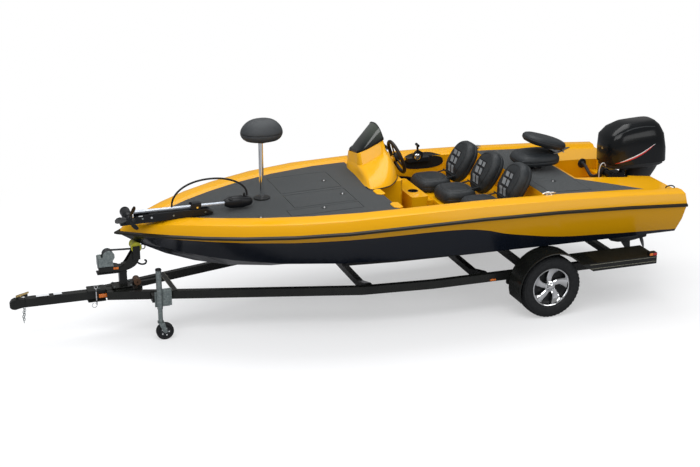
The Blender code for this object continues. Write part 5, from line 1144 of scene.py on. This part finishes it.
def console_shell():
    """The helm's moulding with its flared shoulder, in place of the plainer CAD console."""
    rings = [closed_curve([at(*point) for point in ring]) for ring in CONSOLE_RINGS]
    count = len(rings[0])
    shoulder = []
    for share in (0.25, 0.50, 0.75):
        loop = []
        for low, high in zip(rings[1], rings[2]):
            out = Vector((low.x - high.x, low.y - high.y, 0.0))
            swell = SHOULDER_BULGE * 4 * share * (1 - share) * min(1.0, out.length / 0.40)
            loop.append(low.lerp(high, share) + out.normalized() * swell * 0.5 + UP * swell)
        shoulder.append(loop)
    middle = sum(rings[3], Vector()) / count
    caps = [[middle + (point - middle) * size + UP * lift for point in rings[3]]
            for size, lift in ((0.975, 0.004), (0.90, 0.005), (0.45, 0.005), (0.02, 0.005))]
    shell = loft([rings[0], rings[1], *shoulder, rings[2], rings[3], *caps])
    lower = slab([(-1.440, 0.050), (-1.420, 0.024), (-1.140, 0.024), (-1.110, 0.060), (-1.104, 0.700),
                  (-1.130, 0.734), (-1.420, 0.734), (-1.440, 0.710)], (0.742, 1.1695))
    foot = at(*(HELM_AT - HELM_AXIS * 0.0303))
    column = rod(foot - HELM_AXIS * 0.110, foot, 0.030, 28)
    made = piece("console_shell", merged([shell, lower, column]), YELLOW_GEL, HULL_BODY, smooth=42.0)
    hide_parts("console")
    trim = [rings[0][index % count] + UP * 0.002 for index in range(9, 38)]
    piece("console_trim", tube(trim, 0.0055, 8), HOSE, HULL_BODY)
    bezel = lathe([(-0.004, 0.031), (-0.004, 0.052), (0.004, 0.048), (0.010, 0.031)],
                  foot - HELM_AXIS * 0.060, HELM_AXIS, 32)
    piece("helm_bezel", bezel, PLASTIC, HULL_BODY)
    dash = []
    for y, radius in ((0.365, 0.026), (0.430, 0.034), (0.520, 0.034), (0.590, 0.026)):
        dash.append(lathe([(-0.006, 0.001), (-0.006, radius), (0.004, radius), (0.006, radius - 0.005),
                           (0.003, radius - 0.007), (0.003, 0.001)], at(-1.164, y, 1.418),
                          (0.93, 0.0, 0.36), 28))
    piece("dash_gauges", merged(dash), PLASTIC, HULL_BODY)


HOOD_SHEET = 0.005
HOOD_MIDDLE = 0.528
HOOD_STEPS = 18
# Front and back end of the hood's foot, as (x, z) from the axle
HOOD_FOOT = ((-1.452, 1.352), (-1.198, 1.478))


def hood():
    """The smoked hood, a raked arch on the console's rim, with a black band round its foot."""
    (front_x, front_z), (back_x, back_z) = HOOD_FOOT
    outer, inner = [], []
    for share in (0.0, 0.06, 0.14, 0.26, 0.42, 0.60, 0.80, 1.0):
        half = 0.118 + 0.052 * min(1.0, share / 0.30) ** 0.5
        rise = 0.010 + 0.150 * share ** 0.80
        x = front_x + (back_x - front_x) * share
        base = front_z + (back_z - front_z) * share
        for loops, less in ((outer, 0.0), (inner, HOOD_SHEET)):
            loop = []
            for step in range(HOOD_STEPS + 1):
                angle = math.pi * step / HOOD_STEPS
                across = math.copysign(abs(math.cos(angle)) ** 0.72, math.cos(angle))
                up = math.sin(angle) ** 0.80
                slope = -0.024 * across * half / 0.17
                loop.append(at(x - 0.050 * share * up + less, HOOD_MIDDLE + (half - less) * across,
                               base + slope + max(0.001, rise - less) * up))
            loops.append(loop)
    made = piece("hood", loft([a + b[::-1] for a, b in zip(outer, inner)]), screen_tint_painted_reflection(), HULL_BODY,
                 smooth=45.0)
    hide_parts("windscreen")
    piece("hood_edge", tube(outer[-1], 0.0045, 8), GREY_PLASTIC_AND_HIGHLIGHT, HULL_BODY)
    feet = [loop[-1] for loop in outer[::-1]] + outer[0][-2:0:-1] + [loop[0] for loop in outer]
    band = strip([point + UP * 0.010 for point in feet], 0.024, 0.010, UP)
    piece("hood_band", band, PLASTIC, HULL_BODY, bevel=0.002)


def control_recess():
    """The oval recess round the throttle lever, as near-black sheets of painted shade, with its bright base.
    """
    x, z, wall = -0.610, 1.100, 0.7785
    outline = [(x + a, z + b) for a, b in oval(0.222, 0.066, 2.6, 48)]
    loops = []
    for share in (0.0, 0.25, 0.5, 0.75, 1.0):
        line = []
        for along in (0.200 * step / 12 for step in range(-12, 13)):
            y = 0.7815 + 0.072 * share * (1.0 - (abs(along) / 0.2001) ** 2.6) ** (1 / 2.6)
            line.append(at(x + along, y, top_of(("deck",), x + along, y) + 0.0025))
        loops.append(line + [point - UP * 0.004 for point in line[::-1]])
    # Thin near-black sheets on the wall and the deck: painted shade in place of a real recess
    recess = merged([plate(outline, (wall - 0.004, wall + 0.001)), loft(loops)])
    piece("control_recess", recess, RECESS_SHADE, HULL_BODY)
    base = lathe([(0.0, 0.001), (0.0, 0.034), (0.006, 0.034), (0.012, 0.026), (0.014, 0.012),
                  (0.014, 0.001)], at(-0.700, 0.7075, 1.188), (0.0, -1.0, 0.0), 32)
    piece("control_base", base, CHROME, HULL_BODY)


def cup_insert():
    """The lining of the drink holder in the console's deck."""
    ring = lathe([(-0.002, 0.0455), (-0.002, 0.054), (0.003, 0.052), (0.004, 0.046), (-0.080, 0.040),
                  (-0.082, 0.001), (-0.079, 0.001), (-0.076, 0.038), (0.0, 0.0435)],
                 at(-0.930, 0.230, 0.985), UP, 36)
    piece("cup_insert", ring, PLASTIC, HULL_BODY)


console_shell()
hood()
control_recess()
cup_insert()

# Trailer details


def chain(name, top, links, body, lean=0.0):
    """A short hanging chain of oval links, each turned a quarter from the last."""
    shapes = []
    for link in range(links):
        centre = top + Vector((lean * link, 0.0, -0.0215 * link))
        wide = Y_AXIS if link % 2 else X_AXIS
        points = [centre + wide * 0.0085 * math.cos(a) + UP * 0.0155 * math.sin(a) for a in turns(16)]
        shapes.append(tube(points, 0.0030, 6, loop=True))
    piece(name, merged(shapes), ZINC, body)


def hitch():
    """Latch and chains of the coupler, white strips on the tongue and the swing hinge's pin and marker."""
    tongue = body_of("tongue")
    lever = [(-4.838, 0.452), (-4.800, 0.462), (-4.745, 0.474), (-4.722, 0.480), (-4.720, 0.472),
             (-4.745, 0.464), (-4.790, 0.450), (-4.838, 0.442)]
    latch = [plate(lever, (-0.014, 0.014)),
             rod(at(-4.800, -0.024, 0.452), at(-4.800, 0.024, 0.452), 0.007, 14)]
    piece("coupler_latch", merged(latch), BRASSY, tongue, bevel=0.0015)
    for number, y in enumerate((-0.030, 0.030)):
        chain(f"safety_chain_{number}", at(-4.770, y, 0.318), 6, tongue, -0.003)
    tapes = [box(x_range, (-0.024, 0.024), (0.4310, 0.4318))
             for x_range in ((-4.660, -4.545), (-4.505, -4.430))]
    piece("tongue_tape", merged(tapes), WHITE_TAPE, tongue)
    x, y = -4.128, -0.058
    pin = [rod(at(x, y, 0.300), at(x, y, 0.458), 0.0070, 16),
           ring_at(at(x, y, 0.470), 0.016, 0.0032, (0.4, 1.0, 0.0)),
           ring_at(at(x - 0.022, y, 0.296), 0.022, 0.0026, Y_AXIS)]
    piece("hinge_pin", merged(pin), CHROME, HULL_BODY)
    marker = box((-4.105, -4.020), (-0.0565, -0.0465), (0.360, 0.396))
    piece("front_marker", marker, LAMP_AMBER, HULL_BODY, bevel=0.004, segments=3)
    band = [box((-3.948, -3.936), (-0.0402, -0.0390), (0.338, 0.4420)),
            box((-3.948, -3.936), (-0.0402, 0.0402), (0.4412, 0.4422))]
    piece("stub_band", merged(band), WHITE_TAPE, HULL_BODY)
    bolts = []
    for y in (-0.032, 0.032):
        z = top_of(("tongue", "tongue_stub"), -4.095, y)
        bolts.append(rod(at(-4.095, y, z - 0.002), at(-4.095, y, z + 0.007), 0.009, 6))
    piece("hinge_bolts", merged(bolts), ZINC, HULL_BODY)


# Middle of the winch's drum and gear, and the breadth of its frame
DRUM_AT = (-3.996, 0.0, 0.752)
WINCH_BREADTH = (-0.060, 0.054)


def winch_frame():
    """Galvanised frame, gear and drum, in place of the plain CAD winch."""
    drum = at(*DRUM_AT)
    outline = [(-4.094, 0.652), (-4.094, 0.734), (-4.082, 0.742), (-4.004, 0.742), (-3.962, 0.728),
               (-3.955, 0.652)]
    shapes = [plate(outline, y_range) for y_range in ((-0.060, -0.056), (0.050, 0.054))]
    for x_range, z_range in (((-4.094, -4.090), (0.652, 0.738)), ((-4.094, -3.950), (0.652, 0.656)),
                             ((-4.094, -4.058), (0.734, 0.738))):
        shapes.append(box(x_range, WINCH_BREADTH, z_range))
    teeth = [(math.cos(a), math.sin(a), 0.0560 if step % 4 < 2 else 0.0525)
             for step, a in enumerate(turns(96))]
    shapes.append(loft([[drum + Vector((radius * a, y, radius * b)) for a, b, radius in teeth]
                        for y in (-0.0665, -0.0610)]))
    for y in (-0.050, 0.040):
        rim = [(y - 0.0015, 0.012), (y - 0.0015, 0.050), (y + 0.0015, 0.050), (y + 0.0015, 0.012)]
        shapes.append(lathe(rim, drum, Y_AXIS, 48))
    shapes.append(rod(drum + Vector((0.0, -0.0660, 0.0)), drum + Vector((0.0, 0.0560, 0.0)), 0.012, 18))
    made = piece("winch_frame", merged(shapes), ZINC, HULL_BODY, bevel=0.0008)
    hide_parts("winch")
    wound = lathe([(-0.046, 0.010), (-0.046, 0.043), (0.036, 0.043), (0.036, 0.010)], drum, Y_AXIS, 40)
    run = [drum + Vector((0.0, -0.005, 0.0445)), at(-3.860, -0.004, 0.7885), at(-3.776, 0.0, 0.7840),
           at(-3.742, 0.0, 0.7880)]
    piece("winch_strap", merged([wound, strip(run, 0.046, 0.003, Y_AXIS)]), STRAP, HULL_BODY)


def winch_details():
    """The winch, the wide curved arm that carries it, its hook and eye, and the foot of its post."""
    winch_frame()
    bracket = [(-4.090, 0.6515), (-4.090, 0.618), (-4.066, 0.604), (-3.905, 0.598), (-3.905, 0.640),
               (-3.950, 0.6515)]
    inner = [(-3.905, 0.618), (-3.868, 0.640), (-3.828, 0.690), (-3.795, 0.742), (-3.762, 0.786)]
    outer = [(-3.722, 0.768), (-3.722, 0.690), (-3.745, 0.640), (-3.800, 0.606), (-3.868, 0.590),
             (-3.905, 0.590)]
    curved = [(point.x, point.z) for line in (inner, outer)
              for point in curve_points([(x, 0.0, z) for x, z in line], 4)]
    arms = [plate(curved, side_range(side, 0.0365, 0.0415)) for side in (PORT, STARBOARD)]
    piece("winch_arm_plates", merged([plate(bracket, (-0.058, 0.052)), *arms]), FRAME_PAINT, HULL_BODY,
          bevel=0.001)
    piece("winch_reflector", box((-3.958, -3.912), (-0.0600, -0.0580), (0.622, 0.642)), LAMP_AMBER,
          HULL_BODY)
    hook = ((-3.738, 0.668), (-3.722, 0.640), (-3.690, 0.622), (-3.656, 0.626), (-3.646, 0.650),
            (-3.662, 0.662))
    hook_path = curve_at([(x, 0.0, z) for x, z in hook], 5)
    piece("arm_hook", tube(hook_path, 0.0085, 12), FRAME_PAINT, HULL_BODY)
    piece("bow_eye", ring_at(at(-3.672, 0.0, 0.792), 0.022, 0.0055, Y_AXIS), CHROME, HULL_BODY)
    flange = box((-3.974, -3.790), (-0.076, 0.076), (0.4414, 0.4484))
    piece("post_flange", flange, FRAME_PAINT, HULL_BODY, bevel=0.001)
    bolts = [rod(at(x, y, 0.4480), at(x, y, 0.4560), 0.009, 6)
             for x in (-3.958, -3.806) for y in (-0.060, 0.060)]
    piece("post_bolts", merged(bolts), ZINC, HULL_BODY)
    roller = lathe([(-0.052, 0.008), (-0.052, 0.032), (-0.046, 0.034), (0.0, 0.028), (0.046, 0.034),
                    (0.052, 0.032), (0.052, 0.008)], at(-3.742, 0.020, 0.462), Y_AXIS, 32)
    piece("keel_roller", roller, ROLLER_BROWN, HULL_BODY)


def frame_bars():
    """The flat bar and the strut between the rails, behind the winch post, with painted highlights along the
    strut's edges.
    """
    bar = strip([at(-3.790, 0.015, 0.4460), at(-3.600, 0.070, 0.4350), at(-3.430, 0.128, 0.4290)], 0.034,
                0.006, (0.3, -1.0, 0.0))
    strut = strip([at(-3.472, 0.225, 0.4290), at(-3.455, 0.0, 0.4290), at(-3.440, -0.262, 0.4290)], 0.050,
                  0.006, X_AXIS)
    piece("front_bars", merged([bar, strut]), FRAME_PAINT, HULL_BODY)
    # Light lines along both edges of the strut: painted highlights
    edges = [strip([at(x, 0.225, 0.4325), at(x + 0.032, -0.262, 0.4325)], 0.004, 0.002, X_AXIS)
             for x in (-3.497, -3.449)]
    piece("front_bar_edge_highlights", merged(edges), EDGE_HIGHLIGHT, HULL_BODY)


def jack_details():
    """Bolt-on plate of the jack by the rail, its bolts, wheel hub and cap."""
    rail_y = -0.318
    jack = body_of("jack_tube")
    shapes = [box((-3.570, -3.486), (rail_y - 0.012, rail_y - 0.006), (0.318, 0.486))]
    for z in (0.340, 0.402, 0.462):
        shapes.append(box((-3.570, -3.486), (rail_y - 0.018, rail_y - 0.011), (z - 0.004, z + 0.004)))
    piece("jack_plate", merged(shapes), ZINC, jack, bevel=0.001)
    nuts = [rod(at(x, rail_y - 0.010, z), at(x, rail_y - 0.022, z), 0.009, 6)
            for x in (-3.556, -3.500) for z in (0.372, 0.432)]
    piece("jack_bolts", merged(nuts), ZINC, jack)
    low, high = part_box("jack_wheel")
    near = Vector(((low[0] + high[0]) / 2, low[1], (low[2] + high[2]) / 2))
    far = near + Vector((0.0, high[1] - low[1], 0.0))
    wheel = body_of("jack_wheel")
    cap = [(-0.0030, 0.001), (-0.0030, 0.018), (-0.0015, 0.046), (0.0030, 0.048), (0.0030, 0.001)]
    cap_far = [(-along, radius) for along, radius in cap[::-1]]
    hubs = merged([lathe(cap, near, Y_AXIS, 36), lathe(cap_far, far, Y_AXIS, 36)])
    piece("jack_hub", hubs, GREY_PLASTIC_AND_HIGHLIGHT, wheel)
    holes = []
    for angle in turns(5):
        spot = near + Vector((0.033 * math.cos(angle), -0.0030, 0.033 * math.sin(angle)))
        holes.append(rod(spot, spot + Vector((0.0, -0.0012, 0.0)), 0.0065, 14))
    piece("jack_hub_holes", merged(holes), WHITE_TAPE, wheel)
    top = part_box("jack_tube")[1][2]
    cap = lathe([(-0.002, 0.001), (-0.002, 0.029), (0.006, 0.029), (0.012, 0.024), (0.012, 0.001)],
                at(-3.600, -0.345, top), UP, 28)
    piece("jack_cap", cap, BLACK_CAST_AND_SHADE, jack)


def pole_flange(name, node, x, y, profile):
    """The moulded foot of a seat's post."""
    piece(name, lathe(profile, at(x, y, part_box(node)[0][2]), UP, 40), BLACK_CAST_AND_SHADE, HULL_BODY)


def pole_flanges():
    crown = [(0.0, 0.0790), (0.0092, 0.0775), (0.0115, 0.060)]
    front = [(0.0, 0.0225), *crown, (0.0125, 0.030), (0.0160, 0.0225)]
    rear = [(0.0, 0.0365), *crown, (0.0125, 0.0365)]
    pole_flange("pole_flange", "seat_pole", -2.535, 0.0, front)
    pole_flange("rear_pole_flange", "rear_seat_post", 0.322, 0.100, rear)


def wheel_grip():
    """The thick padded rim of the steering wheel."""
    body = body_of("steering_wheel")
    centre = at(*HELM_AT)
    piece("helm_grip", tube(circle(centre, 0.166, HELM_AXIS, 72), 0.0178, 14, loop=True), GRIP, body)
    boss = lathe([(0.004, 0.001), (0.004, 0.048), (0.012, 0.046), (0.020, 0.034), (0.022, 0.001)], centre,
                 HELM_AXIS, 32)
    piece("helm_boss", boss, GRIP, body)


# Upper edge of the mount's side plates: x from the axle and how far under the shaft's middle
CHEEK_TOP = ((-3.765, 0.030), (-3.700, 0.018), (-3.300, 0.014), (-3.120, 0.018), (-3.062, 0.052))


def mount_cheeks():
    """Side plates of the trolling motor's mount, with its quick-release latch."""
    shaft_z = shaft_height()
    mount = body_of("trolling_base")
    for number, side in enumerate((PORT, STARBOARD)):
        y = TROLL_Y + side * 0.0535
        top = [(x, shaft_z - drop) for x, drop in CHEEK_TOP]
        bottom = [(x, top_of(("trolling_base",), x, TROLL_Y + side * 0.050) - 0.004)
                  for x in (-3.066, -3.300, -3.560, -3.765)]
        piece(f"mount_cheek_{number}", plate(top + bottom, (y - 0.0030, y + 0.0030)), PLASTIC, mount,
              bevel=0.0012)
    z = shaft_z - 0.050
    studs = [rod(at(x, TROLL_Y - 0.0565, z), at(x, TROLL_Y - 0.0600, z), 0.0085, 16)
             for x in (-3.700, -3.420, -3.130)]
    piece("cheek_studs", merged(studs), ZINC, mount)
    label = box((-3.735, -3.700), (TROLL_Y - 0.0575, TROLL_Y - 0.0563), (shaft_z - 0.030, shaft_z - 0.022))
    piece("cheek_label", label, WHITE_TAPE, mount)


GRIP = surface("wheel_grip", (0.016, 0.010, 0.007), 0.55, second=(0.010, 0.007, 0.005),
               grain=(240.0, 0.25, 0.002), shine=0.35)

hitch()
winch_details()
frame_bars()
jack_details()
pole_flanges()
wheel_grip()
mount_cheeks()
